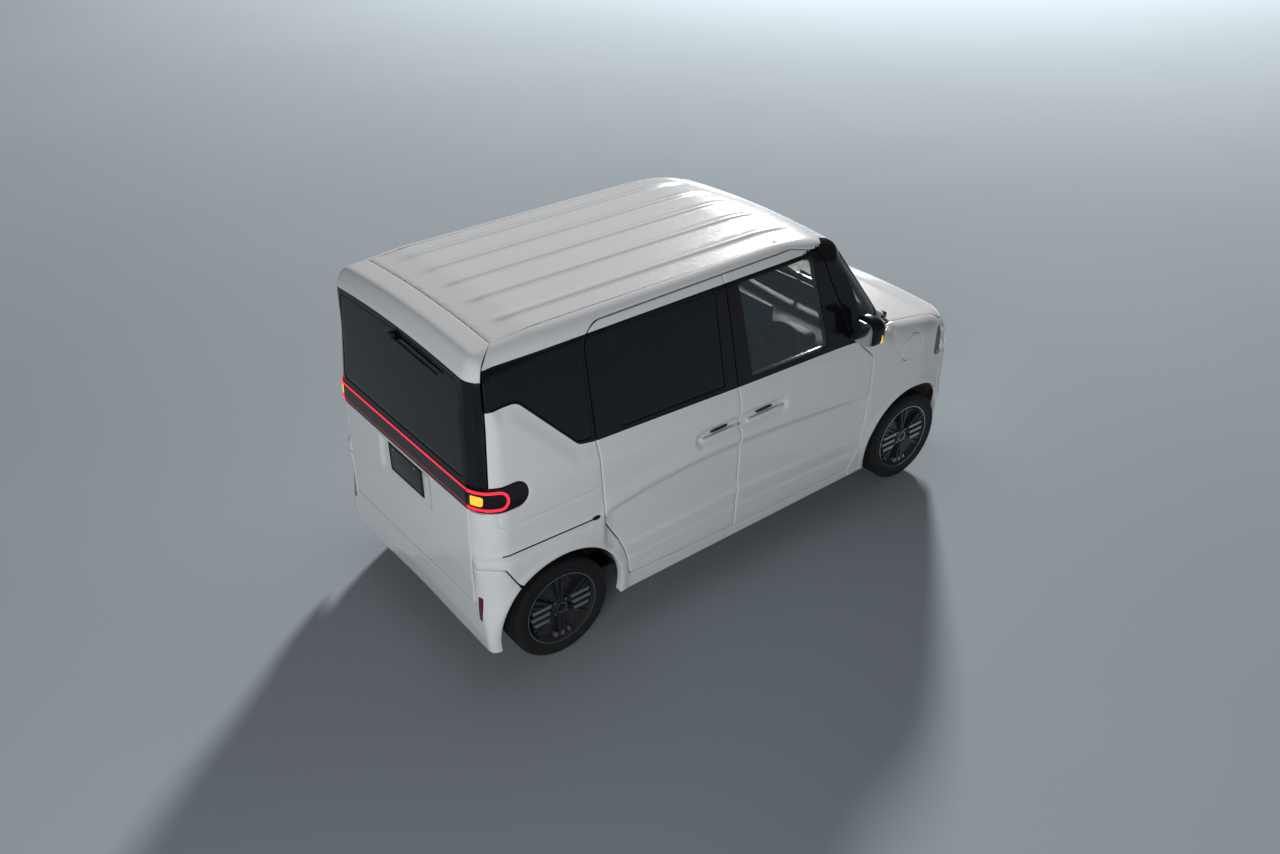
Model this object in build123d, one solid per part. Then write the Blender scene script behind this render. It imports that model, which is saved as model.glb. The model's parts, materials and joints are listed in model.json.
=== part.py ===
"""A four-door kei-class electric wagon: one box body, hinged front doors, rear sliding doors and a lift-up tailgate.

Millimetres. +X is forward, +Y is the car's left, +Z is up. The origin is on the ground under the middle of the body.
Right-hand pieces (negative Y) are made first, and their left-hand twins are mirrored from them.
"""
from build123d import *
from functools import cache
from itertools import permutations
import math
import os

# Overall sizes
LENGTH = 3395.0
WIDTH = 1475.0
HEIGHT = 1800.0
WHEELBASE = 2515.0
REAR_OVERHANG = 420.0
BODY_Z0 = 205.0           # underside of the bumpers and sills
REAR_X = -LENGTH / 2
FRONT_X = LENGTH / 2
REAR_AXLE_X = REAR_X + REAR_OVERHANG
FRONT_AXLE_X = REAR_AXLE_X + WHEELBASE
HALF_W = WIDTH / 2

# Walls and running gaps
WALL = 50.0               # doors, sides and tailgate
LID_WALL = 32.0           # bonnet
SEAM = 7.0                # shut line between outer panels
FLANGE_GAP = 6.0          # door inner face to its frame
FLANGE_DEPTH = 24.0       # frame behind the door edges
FLANGE_LAP = 34.0         # how far the frame shows inside a door opening
HEM = 18.0                # thin edge of a door or lid, outside its thick inner part
HEM_LAP = 22.0            # width of that thin edge
CHARGE_DEPTH = 38.0       # recess behind the charging flap
LID_SEAM = 6.0            # round the charging flap
HINGE_BACK = 50.0         # hinge line behind a panel's edge
HINGE_DEPTH = 12.0        # and below its outer face
RUN_CLEAR = 5.6           # room round what swings
PIN_FIT = 0.08
GLASS_SINK = 3.0          # glass face below the outer skin
GLASS_T = 5.0
FIT = 0.3                 # seating gap round fixed panes and trim

# Wheels, tyres and arches
TYRE_R = 281.0
TYRE_W = 165.0
RIM_R = 204.0
BEAD_R = 190.0
TYRE_FACE_Y = 722.0       # outer face of the tyre from the centre plane
WHEEL_Y = TYRE_FACE_Y - TYRE_W / 2
ARCH_R = 362.0
HUB_OFFSET = 42.0         # wheel mounting face outboard of the tyre's middle
HUB_FACE_Y = WHEEL_Y + HUB_OFFSET
STUB_R = 26.0
STUB_FIT = 0.06
KINGPIN_Y = 520.0
LINER_GAP = 8.0           # arch edge to its liner
LINER_T = 5.0
STRUT_TOP_Z = 790.0

LINER_REAR_Y, LINER_FRONT_Y = 545.0, 376.0   # inner walls of the wheelhouses
LINER_OUT_Y = HALF_W - WALL - FLANGE_GAP

# Stations along the body
SPLIT_X = REAR_X + 228.0          # roof to tailgate seam
WRAP_X = REAR_X + 112.0           # tailgate's edge on the body side
SLIDE_X = REAR_AXLE_X + 238.0     # sliding door's rear edge
B_X = REAR_AXLE_X + 1130.0        # seam between the two doors
DOOR_X = FRONT_AXLE_X - 378.0     # front door's front edge
SCREEN_X = FRONT_AXLE_X - 203.0   # foot of the windscreen
SCREEN_RUN = 435.0                # its rake, foot to head
HEAD_X = SCREEN_X - SCREEN_RUN
COWL_W = 52.0
BUMPER_X = FRONT_AXLE_X + 270.0   # fender to front bumper seam

# Heights
SILL_Z = 285.0
BELT_Z = 1150.0
SCREEN_Z = 1112.0
GLASS_TOP_Z = HEIGHT - 100.0
DOOR_TOP_Z = HEIGHT - 40.0
ROOF_EDGE_Z = HEIGHT - 62.0
LID_Z = 955.0
LAMP_Z0, LAMP_Z1 = 1015.0, 1140.0          # tail lamps and the light bar
HEADLAMP_Z0, HEADLAMP_Z1 = 775.0, 945.0
GATE_Z = 455.0                             # bottom of the tailgate
GATE_HALF = 610.0                          # its half width below the glass
ROOF_HALF = 560.0                          # half width of the roof panel
LID_HALF = 640.0
CROWN_R = 6000.0
FLOOR_Z = 275.0
FLOOR_T = 20.0
COWL_TRAY_Z = 1000.0
REAR_FLOOR_Z = 440.0
JACK_Z = 165.0

PARTS = "parts"
WIDE = 2000.0             # reach of a cutting prism


def grown(rows, by):
    """Rows of (u, v, corner radius) with every edge moved outwards, or inwards where by is negative."""
    if not by:
        return rows
    n = len(rows)
    area = sum(rows[i - 1][0] * rows[i][1] - rows[i][0] * rows[i - 1][1] for i in range(n))
    out = by if area > 0 else -by
    lines = []
    for i in range(n):
        (u0, v0, _), (u1, v1, _) = rows[i], rows[(i + 1) % n]
        span = math.hypot(u1 - u0, v1 - v0)
        du, dv = (u1 - u0) / span, (v1 - v0) / span
        lines.append((u0 + dv * out, v0 - du * out, du, dv))
    moved = []
    for i in range(n):
        (u0, v0, a0, b0), (u1, v1, a1, b1) = lines[i - 1], lines[i]
        cross = a0 * b1 - b0 * a1
        t = ((u1 - u0) * b1 - (v1 - v0) * a1) / cross
        convex = cross * area > 0
        radius = rows[i][2] + (by if convex else -by)
        moved.append((u0 + a0 * t, v0 + b0 * t, max(radius, 0.0) if rows[i][2] else 0.0))
    return moved


def rounded(rows):
    """A flat face from rows of (u, v, corner radius); radii shrink where an edge is too short for them."""
    n = len(rows)
    points = [Vector(u, v) for u, v, _ in rows]
    spans = [(points[(i + 1) % n] - points[i]).length for i in range(n)]
    cuts, halves = [], []
    for i, (_, _, r) in enumerate(rows):
        a, b = (points[i - 1] - points[i]).normalized(), (points[(i + 1) % n] - points[i]).normalized()
        halves.append((math.pi - math.acos(max(-1.0, min(1.0, a.dot(b))))) / 2)
        cuts.append(r * math.tan(halves[i]) if r > 0.01 and halves[i] > 1e-3 else 0.0)
    fits = [min(1.0, 0.98 * spans[i] / max(cuts[i] + cuts[(i + 1) % n], 1e-9)) for i in range(n)]
    edges, ends = [], []
    for i, p in enumerate(points):
        cut = cuts[i] * min(fits[i - 1], fits[i])
        if cut < 1e-3:
            ends.append((p, p))
            continue
        r = cut / math.tan(halves[i])
        a, b = (points[i - 1] - p).normalized(), (points[(i + 1) % n] - p).normalized()
        start, end = p + a * cut, p + b * cut
        mid = p + (a + b).normalized() * (r / math.cos(halves[i]) - r)
        edges.append(ThreePointArc(start, mid, end))
        ends.append((start, end))
    for i in range(n):
        start, end = ends[i][1], ends[(i + 1) % n][0]
        if (end - start).length > 1e-3:
            edges.append(Line(start, end))
    return make_face(edges)


def side_prism(rows, y0=-WIDE, y1=WIDE):
    """Rows of (x, z, radius) swept across the car from y0 to y1."""
    plane = Plane(origin=(0, y0, 0), x_dir=(1, 0, 0), z_dir=(0, -1, 0))
    return extrude(plane * rounded(rows), amount=y1 - y0, dir=(0, 1, 0))


def plan_prism(rows, z0=-WIDE, z1=WIDE):
    """Rows of (x, y, radius) swept from z0 up to z1."""
    return extrude(Plane(origin=(0, 0, z0)) * rounded(rows), amount=z1 - z0, dir=(0, 0, 1))


def front_prism(rows, x0=-WIDE, x1=WIDE):
    """Rows of (y, z, radius) swept forwards from x0 to x1."""
    plane = Plane(origin=(x0, 0, 0), x_dir=(0, 1, 0), z_dir=(1, 0, 0))
    return extrude(plane * rounded(rows), amount=x1 - x0, dir=(1, 0, 0))


def block(x0, x1, y0, y1, z0, z1):
    """A box between two corners."""
    box = Box(x1 - x0, y1 - y0, z1 - z0)
    return Pos((x0 + x1) / 2, (y0 + y1) / 2, (z0 + z1) / 2) * box


def rod(radius, start, end):
    """A round bar from start to end."""
    start, end = Vector(*start), Vector(*end)
    plane = Plane(origin=start, z_dir=end - start)
    return extrude(plane * Circle(radius), amount=(end - start).length)


def left_of(shape):
    """The left-hand twin of a right-hand piece."""
    return mirror(shape, about=Plane.XZ)


def pair(shape):
    """A right-hand piece and its twin as one shape of two solids."""
    return Compound(children=[*shape.solids(), *left_of(shape).solids()])


def hinge(at, inward_edge, outward, pin_r, width, drop, reach):
    """A hidden hinge: what it cuts from the panel, and the pin with its bent bracket that the frame keeps.

    inward_edge points from the hinge line to the panel's near edge, outward points out of its face. The bracket
    goes in by drop, then reach towards the frame.
    """
    plane = Plane(origin=at, x_dir=inward_edge, z_dir=Vector(*inward_edge).cross(Vector(*outward)))
    back = pin_r + 7

    def local_block(u0, u1, v0, v1, w0, w1):
        return plane * block(u0, u1, v0, v1, w0, w1)

    pin = plane * Pos(0, 0, -width) * extrude(Circle(pin_r), amount=2 * width)
    hole = plane * Pos(0, 0, -width - 1) * extrude(Circle(pin_r + PIN_FIT), amount=2 * width + 2)
    slot = local_block(-back - 3, HINGE_BACK + 20, -drop - 12, pin_r + 1.6, -width / 2 - 6, width / 2 + 6)
    bracket = local_block(-back, -0.4 * pin_r, -drop, 0, -width / 2, width / 2)
    bracket += local_block(-back, reach, -drop - 10, -drop, -width / 2, width / 2)
    return slot + hole, pin + bracket


# ---------------------------------------------------------------- body envelope
def side_profile():
    """x, z, corner radius, clockwise from the rear underside."""
    return [
        (REAR_X + 14, BODY_Z0, 20),
        (REAR_X, 330, 80),
        (REAR_X, 640, 400),
        (REAR_X + 16, LAMP_Z1, 600),
        (REAR_X + 58, GLASS_TOP_Z + 10, 120),
        (REAR_X + 96, HEIGHT - 18, 60),
        (REAR_X + 420, HEIGHT + 8, 900),
        (HEAD_X - 260, HEIGHT - 2, 1200),
        (HEAD_X, GLASS_TOP_Z + 22, 60),
        (SCREEN_X, SCREEN_Z, 20),
        (SCREEN_X + COWL_W, SCREEN_Z + 4, 30),
        (FRONT_X - 290, 1062, 500),
        (FRONT_X - 44, 985, 90),
        (FRONT_X, 800, 200),
        (FRONT_X, 400, 120),
        (FRONT_X - 50, BODY_Z0, 40),
    ]


def plan_profile():
    """x, y, corner radius. It stands a millimetre proud of the other two profiles, so that no faces coincide."""
    half = [
        (REAR_X - 1, -HALF_W - 1, 130),
        (FRONT_AXLE_X + 60, -HALF_W - 1, 500),
        (FRONT_X - 130, -(HALF_W - 48), 160),
        (FRONT_X + 1, -(HALF_W - 180), 150),
    ]
    return half + [(x, -y, r) for x, y, r in reversed(half)]


def section_profile():
    """y, z, corner radius, for the right half and its mirror, with a crowned roof."""
    edge_y, edge_z = HALF_W - 76, HEIGHT - 33
    apex = HEIGHT
    for _ in range(40):
        apex = HEIGHT + CROWN_R * (1 / math.cos(math.atan2(apex - edge_z, edge_y)) - 1)
    half = [
        (-(HALF_W - 24), BODY_Z0 - 5, 20),
        (-HALF_W, 480, 300),
        (-HALF_W, 1060, 300),
        (-(HALF_W - 14), BELT_Z + 15, 200),
        (-edge_y, edge_z, 95),
    ]
    return half + [(0, apex, CROWN_R)] + [(-y, z, r) for y, z, r in reversed(half)]


SIDE_ROWS, PLAN_ROWS, SECTION_ROWS = side_profile(), plan_profile(), section_profile()


def common(shapes):
    """What three shapes share, taken in whichever order gives a sound solid."""
    for order in permutations(shapes):
        try:
            shared = order[0] & order[1] & order[2]
        except ValueError:
            continue
        if shared.volume > 1e6:
            return shared
    raise ValueError("the envelope could not be made")


@cache
def envelope(inset=0.0):
    """The body's closed outer form, or the form a wall's thickness inside it and open below."""
    solid = common((side_prism(grown(SIDE_ROWS, -inset)), plan_prism(grown(PLAN_ROWS, -inset)),
                    front_prism(grown(SECTION_ROWS, -inset))))
    if inset > GLASS_SINK + GLASS_T + 1:
        solid += plan_prism(grown(PLAN_ROWS, -inset - 25), BODY_Z0 - 100, BODY_Z0 + inset + 1)
    return solid


# ---------------------------------------------------------------- seams and openings, in (x, z)
B_LINE = [(B_X - 6, SILL_Z - 12, 0), (B_X + 16, 760, 900), (B_X, BELT_Z, 400), (B_X - 62, DOOR_TOP_Z, 0)]


def front_door_outline():
    """Seam round the front door."""
    return B_LINE + [
        (HEAD_X - 128, DOOR_TOP_Z, 70),
        (HEAD_X - 96, 1560, 500),
        (HEAD_X + 100, BELT_Z - 22, 120),
        (DOOR_X, 975, 60),
        (DOOR_X, 780, 400),
        (DOOR_X - 38, 400, 160),
        (DOOR_X - 125, SILL_Z - 22, 60),
    ]


def sliding_door_outline():
    """Seam round the sliding door."""
    return [
        (SLIDE_X + 172, SILL_Z + 18, 20),
        (SLIDE_X + 158, 420, 160),
        (SLIDE_X + 112, 545, 120),
        (SLIDE_X + 28, 690, 80),
        (SLIDE_X + 4, BELT_Z + 30, 900),
        (SLIDE_X - 14, DOOR_TOP_Z - 4, 110),
    ] + B_LINE[::-1]


def front_glass_outline():
    """Drop glass of the front door."""
    return [
        (B_X + 96, BELT_Z + 12, 12),
        (B_X + 22, GLASS_TOP_Z - 14, 12),
        (HEAD_X - 205, GLASS_TOP_Z - 14, 25),
        (HEAD_X - 90, BELT_Z - 2, 20),
    ]


def slide_glass_outline():
    """Pane of the sliding door."""
    return [
        (SLIDE_X + 150, BELT_Z + 34, 20),
        (SLIDE_X + 128, GLASS_TOP_Z - 10, 20),
        (B_X - 118, GLASS_TOP_Z - 12, 12),
        (B_X - 80, BELT_Z + 14, 12),
    ]


def rear_quarter_outline():
    """Dark side pane behind the sliding door, stepped over the raised panel."""
    return [
        (WRAP_X + 12, GLASS_TOP_Z, 8),
        (SLIDE_X - 26, GLASS_TOP_Z, 8),
        (SLIDE_X - 14, BELT_Z + 40, 8),
        (SLIDE_X - 92, BELT_Z + 42, 60),
        (SLIDE_X - 385, 1518, 60),
        (WRAP_X + 12, 1506, 8),
    ]


def front_quarter_outline():
    """Small pane between the windscreen pillar and the door."""
    return [
        (HEAD_X + 2, GLASS_TOP_Z - 62, 14),
        (HEAD_X + 22, GLASS_TOP_Z - 66, 14),
        (SCREEN_X - 116, BELT_Z + 62, 30),
        (HEAD_X + 152, BELT_Z + 86, 20),
    ]


def windscreen_outline():
    """In (y, z)."""
    half = [(-(HALF_W - 118), SCREEN_Z + 14, 60), (-(HALF_W - 158), GLASS_TOP_Z + 4, 60)]
    return half + [(-y, z, r) for y, z, r in reversed(half)]


def tailgate_zone(by=0.0):
    """All that swings with the tailgate, grown by a distance."""
    upper = block(REAR_X - 50, WRAP_X + by, -WIDE, WIDE, LAMP_Z1 - by, GLASS_TOP_Z + 44 + by)
    top = block(REAR_X - 50, SPLIT_X + by, -ROOF_HALF + 22 - by, ROOF_HALF - 22 + by, GLASS_TOP_Z - 60, HEIGHT + 50)
    corner = block(REAR_X - 50, WRAP_X + by, -WIDE, WIDE, GLASS_TOP_Z, HEIGHT + 50)
    lower = block(REAR_X - 50, REAR_X + 150 + by, -GATE_HALF - by, GATE_HALF + by, GATE_Z - by, LAMP_Z1 + 60)
    return upper + top + corner + lower


def rear_bumper_zone(by=0.0):
    """Below the tailgate, and round the corners to the rear arches."""
    face = block(REAR_X - 50, REAR_AXLE_X, -WIDE, WIDE, BODY_Z0 - 60, GATE_Z - SEAM / 2 + by)
    corners = side_prism([
        (REAR_X - 50, GATE_Z - 60, 0), (REAR_X - 50, 560 + by, 0),
        (REAR_X + 130, 560 + by, 30), (REAR_AXLE_X - 190, 470 + by, 0), (REAR_AXLE_X - 190, 300, 0)])
    return face + (corners - block(REAR_X - 60, REAR_X + 400, -GATE_HALF - SEAM, GATE_HALF + SEAM, GATE_Z - 10, 900))


def lamp_capsule(by=0.0):
    """Side view of a tail lamp with its round front end."""
    h = (LAMP_Z1 - LAMP_Z0) / 2 + by
    return side_prism([
        (REAR_X - 60, LAMP_Z0 - by, 0), (REAR_X - 60, LAMP_Z1 + by, 0),
        (REAR_X + 262 + by, LAMP_Z1 + by, h - 0.5), (REAR_X + 262 + by, LAMP_Z0 - by, h - 0.5)])


def headlamp_outline(by=0.0):
    """Front view, (y, z), right-hand lamp."""
    r = (HEADLAMP_Z1 - HEADLAMP_Z0) / 2 - 5
    return grown([
        (-(HALF_W + 40), HEADLAMP_Z0, 0), (-(HALF_W + 40), HEADLAMP_Z1, 0),
        (-400, HEADLAMP_Z1, r), (-400, HEADLAMP_Z0, r)], by)


def lid_zone(by=0.0):
    """The bonnet, from the cowl to its lip over the lamps."""
    return block(SCREEN_X + COWL_W - by, FRONT_X + 50, -LID_HALF - by, LID_HALF + by, LID_Z - by, HEIGHT)


def arch_cut(x, radius):
    """Opening above a wheel, down through the sill edge."""
    return (rod(radius, (x, -WIDE, TYRE_R), (x, WIDE, TYRE_R))
            + block(x - radius, x + radius, -WIDE, WIDE, -50, TYRE_R))


def liner_room():
    """Space that the wheelhouses take, with a seating gap."""
    room = None
    for x, inner_y in ((REAR_AXLE_X, LINER_REAR_Y), (FRONT_AXLE_X, LINER_FRONT_Y)):
        r = ARCH_R + LINER_GAP + LINER_T + 0.5
        y0, y1 = -LINER_OUT_Y - FIT, -inner_y + LINER_T + FIT
        piece = rod(r, (x, y0, TYRE_R), (x, y1, TYRE_R)) + block(x - r, x + r, y0, y1, -50, TYRE_R)
        room = piece if room is None else room + piece
    return room + left_of(room)


# ---------------------------------------------------------------- outer panels
OUTER = envelope()
INNER = envelope(WALL)
SHELL = OUTER - INNER
ARCHES = arch_cut(REAR_AXLE_X, ARCH_R) + arch_cut(FRONT_AXLE_X, ARCH_R)
LINER_ROOM = liner_room()
GLASS_LAYER = envelope(GLASS_SINK) - envelope(GLASS_SINK + GLASS_T)
RIGHT = block(-WIDE, WIDE, -WIDE, 0, -WIDE, WIDE)
HALF_SEAM = SEAM / 2
DOOR_HINGE_X = DOOR_X - HALF_SEAM - HINGE_BACK
DOOR_HINGE_Y = -HALF_W + HINGE_DEPTH
DOOR_HINGE_Z = (520.0, 900.0)
GATE_HINGE_X = SPLIT_X - HINGE_BACK
GATE_HINGE_Y = 400.0
GATE_HINGE_Z = HEIGHT - 33.0
LID_HINGE_X = SCREEN_X + COWL_W + HALF_SEAM + 30
LID_HINGE_Y = 560.0
LID_HINGE_Z = SCREEN_Z - 11.0


def door(outline, pane):
    """A whole door: a thin edge inside its seam and a thick middle, with its window cut."""
    edge = (OUTER - envelope(HEM)) & side_prism(grown(outline, -HALF_SEAM), -WIDE, -ROOF_HALF - 12)
    middle = SHELL & side_prism(grown(outline, -HALF_SEAM - HEM_LAP), -WIDE, -ROOF_HALF - 12)
    return (edge + middle) - side_prism(pane, -WIDE, 0)


def side_pane(outline):
    """A pane seated in a window of the right side."""
    return GLASS_LAYER & side_prism(grown(outline, -FIT), -WIDE, 0)


def body_side():
    """Quarter panel, pillars, cantrail and sill as one frame round two door openings."""
    front, slide = front_door_outline(), sliding_door_outline()
    openings = side_prism(grown(front, HALF_SEAM), -WIDE, 0) + side_prism(grown(slide, HALF_SEAM), -WIDE, 0)
    deep = envelope(WALL + FLANGE_GAP + FLANGE_DEPTH)
    skin = SHELL & block(REAR_X - 50, DOOR_X + 4 + HALF_SEAM, -WIDE, -200, BODY_Z0 - 50, HEIGHT + 50)
    pillar = SHELL & block(DOOR_X, SCREEN_X + 12, -WIDE, -200, SCREEN_Z - 8, HEIGHT)
    rim = (OUTER - deep) & block(SLIDE_X - 40, DOOR_X - 42, -WIDE, -350, BODY_Z0, DOOR_TOP_Z + 24)
    skin -= block(DOOR_X - 36.5, DOOR_X + 60, -WIDE, 0, SILL_Z + 699.5, SCREEN_Z - 8)
    frame = (skin + pillar + rim) - openings
    seats = ((front, WALL + FLANGE_GAP, B_X + 4, DOOR_X + 30), (slide, WALL + FIT, SLIDE_X - 40, B_X + 4))
    for outline, depth, x0, x1 in seats:
        zone = block(x0, x1, -WIDE, -350, BODY_Z0, DOOR_TOP_Z + 24)
        frame += ((envelope(depth) - deep) & zone) - side_prism(grown(outline, -FLANGE_LAP), -WIDE, 0)
    frame -= ARCHES
    frame -= LINER_ROOM
    frame -= block(-WIDE, WIDE, -ROOF_HALF - 0.5, 0, ROOF_EDGE_Z - 160, HEIGHT + 60)
    frame -= tailgate_zone(SEAM)
    frame -= rear_bumper_zone(0.5)
    frame -= lamp_capsule(0.5)
    frame -= side_prism(rear_quarter_outline(), -WIDE, 0)
    frame -= side_prism(front_quarter_outline(), -WIDE, 0)
    frame -= front_prism(windscreen_outline(), HEAD_X - 80, FRONT_X)
    frame -= block(REAR_X - 50, REAR_AXLE_X + 500, -400, 0, BODY_Z0 - 50, HEIGHT)
    swing = math.hypot(HINGE_BACK, HINGE_DEPTH) + RUN_CLEAR
    frame -= rod(swing, (DOOR_HINGE_X, DOOR_HINGE_Y, 380), (DOOR_HINGE_X, DOOR_HINGE_Y, 1060))
    for z in DOOR_HINGE_Z:
        frame += door_hinge(z)[1]
    return max(frame.solids(), key=lambda part: part.volume)


def door_hinge(z):
    """Cut and bracket of a front door's hinge."""
    return hinge((DOOR_HINGE_X, DOOR_HINGE_Y, z), (1, 0, 0), (0, -1, 0), 4.0, 22.0, 58.0, 62.0)


def gate_hinges():
    """Cut and brackets of the tailgate's two hinges."""
    cuts, brackets = None, None
    for y in (-GATE_HINGE_Y, GATE_HINGE_Y):
        cut, bracket = hinge((GATE_HINGE_X, y, GATE_HINGE_Z), (1, 0, 0), (0, 0, 1), 3.0, 20.0, 63.0, 100.0)
        cuts, brackets = (cut, bracket) if cuts is None else (cuts + cut, brackets + bracket)
    return cuts, brackets


def lid_hinges():
    """Cut and brackets of the bonnet's two hinges."""
    cuts, brackets = None, None
    for y in (-LID_HINGE_Y, LID_HINGE_Y):
        cut, bracket = hinge((LID_HINGE_X, y, LID_HINGE_Z), (-1, 0, 0), (0, 0, 1), 3.0, 20.0,
                             LID_HINGE_Z - COWL_TRAY_Z - 10, 60.0)
        cuts, brackets = (cut, bracket) if cuts is None else (cuts + cut, brackets + bracket)
    return cuts, brackets


def roof_panel():
    """Roof skin between the cantrails, with the windscreen header."""
    zone = block(-WIDE, HEAD_X + 90, -ROOF_HALF, ROOF_HALF, ROOF_EDGE_Z - 150, HEIGHT + 50)
    roof = (SHELL & zone) - tailgate_zone(SEAM) - front_prism(windscreen_outline(), HEAD_X - 80, FRONT_X)
    swing = math.hypot(HINGE_BACK, HEIGHT - GATE_HINGE_Z) + RUN_CLEAR
    roof -= rod(swing, (GATE_HINGE_X, -WIDE, GATE_HINGE_Z), (GATE_HINGE_X, WIDE, GATE_HINGE_Z))
    roof += block(GATE_HINGE_X + swing + 4, GATE_HINGE_X + swing + 40, -ROOF_HALF + 60, ROOF_HALF - 60,
                  GATE_HINGE_Z - 73, GATE_HINGE_Z - 10)
    roof = max(roof.solids(), key=lambda part: part.volume) + gate_hinges()[1]
    return max(roof.solids(), key=lambda part: part.volume)


def fender():
    """Front wing, round the wheel arch and along the bonnet's edge."""
    zone = side_prism([
        (DOOR_X - 40, BODY_Z0 - 20, 0), (DOOR_X - 40, SCREEN_Z - 10, 0), (SCREEN_X + 4, SCREEN_Z - 10, 0),
        (SCREEN_X + 4, HEIGHT, 0), (FRONT_X + 50, HEIGHT, 0), (FRONT_X + 50, LID_Z + 1, 0),
        (BUMPER_X, LID_Z + 1, 0), (BUMPER_X, BODY_Z0 - 20, 0)], -WIDE, -LID_HALF + 260)
    wing = SHELL & zone
    wing -= side_prism(grown(front_door_outline(), HALF_SEAM))
    wing -= block(-WIDE, DOOR_X - 36, -WIDE, 0, SILL_Z + 40, HEIGHT)
    wing -= block(-WIDE, DOOR_X + 4.5 + HALF_SEAM, -WIDE, 0, BODY_Z0 - 50, SILL_Z + 700)
    wing -= ARCHES
    wing -= LINER_ROOM
    wing -= lid_zone(HALF_SEAM)
    wing -= block(SCREEN_X - 400, SCREEN_X + 12.5, -WIDE, 0, SCREEN_Z - 8.5, HEIGHT)
    wing -= block(SCREEN_X - 50, SCREEN_X + COWL_W, -LID_HALF - 0.5, 0, LID_Z, HEIGHT)
    wing -= front_prism(headlamp_outline(0.5), FRONT_AXLE_X + 150, FRONT_X + 50)
    return max(wing.solids(), key=lambda part: part.volume)


def front_bumper():
    """Nose panel and bumper, with the lamp and grille openings."""
    nose = SHELL & block(BUMPER_X + 0.5, FRONT_X + 50, -WIDE, WIDE, BODY_Z0 - 20, LID_Z - HALF_SEAM)
    lamp = front_prism(headlamp_outline(0.5), FRONT_AXLE_X + 150, FRONT_X + 50)
    nose -= lamp
    nose -= left_of(lamp)
    nose -= front_prism(grille_outline(), FRONT_AXLE_X, FRONT_X + 50)
    nose -= ARCHES
    return nose - LINER_ROOM


def grille_outline():
    """Lower air intake, in (y, z)."""
    return [(-430, 300, 30), (-470, 440, 40), (470, 440, 40), (430, 300, 30)]


def rear_bumper():
    """Cover from arch to arch."""
    return (SHELL & rear_bumper_zone(0.0)) - ARCHES - LINER_ROOM - tailgate_zone(SEAM)


def charge_lid_outline():
    """Flap over the charging sockets in the right wing."""
    x, z = FRONT_AXLE_X - 35, 930
    return [(x - 92, z - 100, 50), (x - 104, z + 40, 60), (x + 62, z + 92, 55), (x + 76, z - 40, 60)]


def charge_pocket():
    """Recess behind the flap."""
    return (OUTER - envelope(CHARGE_DEPTH)) & side_prism(charge_lid_outline(), -WIDE, -400)


def charge_hinge():
    """Cut and bracket of the flap's hinge, at its front edge."""
    return hinge((FRONT_AXLE_X + 15, -HALF_W + 5.5, 958), (1, 0, 0), (0, -1, 0), 1.5, 14.0, CHARGE_DEPTH - 10, 6.0)


def charge_lid():
    """The flap itself."""
    flap = (OUTER - envelope(9)) & side_prism(grown(charge_lid_outline(), -LID_SEAM), -WIDE, -400)
    return flap - charge_hinge()[0]


def charge_inlet():
    """Socket housing on the pocket's floor."""
    x, z = FRONT_AXLE_X - 50, 915
    return rod(34, (x, -HALF_W + 16, z), (x, -HALF_W + CHARGE_DEPTH - FIT, z))


def bonnet():
    """Lid with a thin edge and a thick middle, on two hinges under the cowl end."""
    lid = (OUTER - envelope(12)) & lid_zone(-HALF_SEAM)
    lid += (OUTER - envelope(LID_WALL)) & lid_zone(-HALF_SEAM - HEM_LAP)
    return lid - lid_hinges()[0]


def tailgate():
    """Lift-up door with the roof spoiler, open for its glass."""
    gate = (SHELL & tailgate_zone(0.0)) - tailgate_glass_zone()
    gate -= block(REAR_X - 50, REAR_X + 400, -WIDE, WIDE, 0, GATE_Z + HALF_SEAM)
    reach = SPLIT_X - HEM_LAP
    gate -= block(reach, SPLIT_X + 50, -WIDE, WIDE, GLASS_TOP_Z - 100, HEIGHT) & envelope(HEM)
    return max((gate - gate_hinges()[0]).solids(), key=lambda part: part.volume)


def tailgate_glass_zone(by=0.0):
    """In front view: dark pane from the light bar up to the spoiler."""
    y = HALF_W - 170
    return front_prism(grown([
        (-y, LAMP_Z1 + 24, 30), (-y + 22, GLASS_TOP_Z - 40, 40),
        (y - 22, GLASS_TOP_Z - 40, 40), (y, LAMP_Z1 + 24, 30)], by), REAR_X - 50, REAR_X + 300)


def light_bar():
    """Strip lamp let into the tailgate under its glass."""
    zone = block(REAR_X - 50, REAR_X + 100, -GATE_HALF + 14, GATE_HALF - 14, LAMP_Z0, LAMP_Z1)
    return (OUTER - envelope(22)) & zone


# ---------------------------------------------------------------- chassis
def rails(by=0.0):
    """The two rails that carry the front end, grown by a gap."""
    rail = block(SCREEN_X - 160, FRONT_X - 130, -350 - by, -300 + by, FLOOR_Z - by, FLOOR_Z + 90 + by)
    return rail + left_of(rail)


def floor_pan():
    """Floor with sills, front rails, rear step and jacking pads."""
    half = HALF_W - WALL - FLANGE_GAP - FLANGE_DEPTH - 26
    step_x = REAR_AXLE_X + ARCH_R + 40
    floor = block(step_x, SCREEN_X - 140, -half, half, FLOOR_Z, FLOOR_Z + FLOOR_T)
    floor += block(step_x - 4, step_x + FLOOR_T, -530, 530, FLOOR_Z, REAR_FLOOR_Z + FLOOR_T)
    floor += block(REAR_X + WALL + 10, step_x + FLOOR_T, -530, 530, REAR_FLOOR_Z, REAR_FLOOR_Z + FLOOR_T)
    floor -= LINER_ROOM
    floor += rails()
    for x in (REAR_AXLE_X + ARCH_R + 90, FRONT_AXLE_X - ARCH_R - 150):
        for y in (-600, 535):
            floor += block(x, x + 60, y, y + 65, JACK_Z, FLOOR_Z)
    return floor


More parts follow.
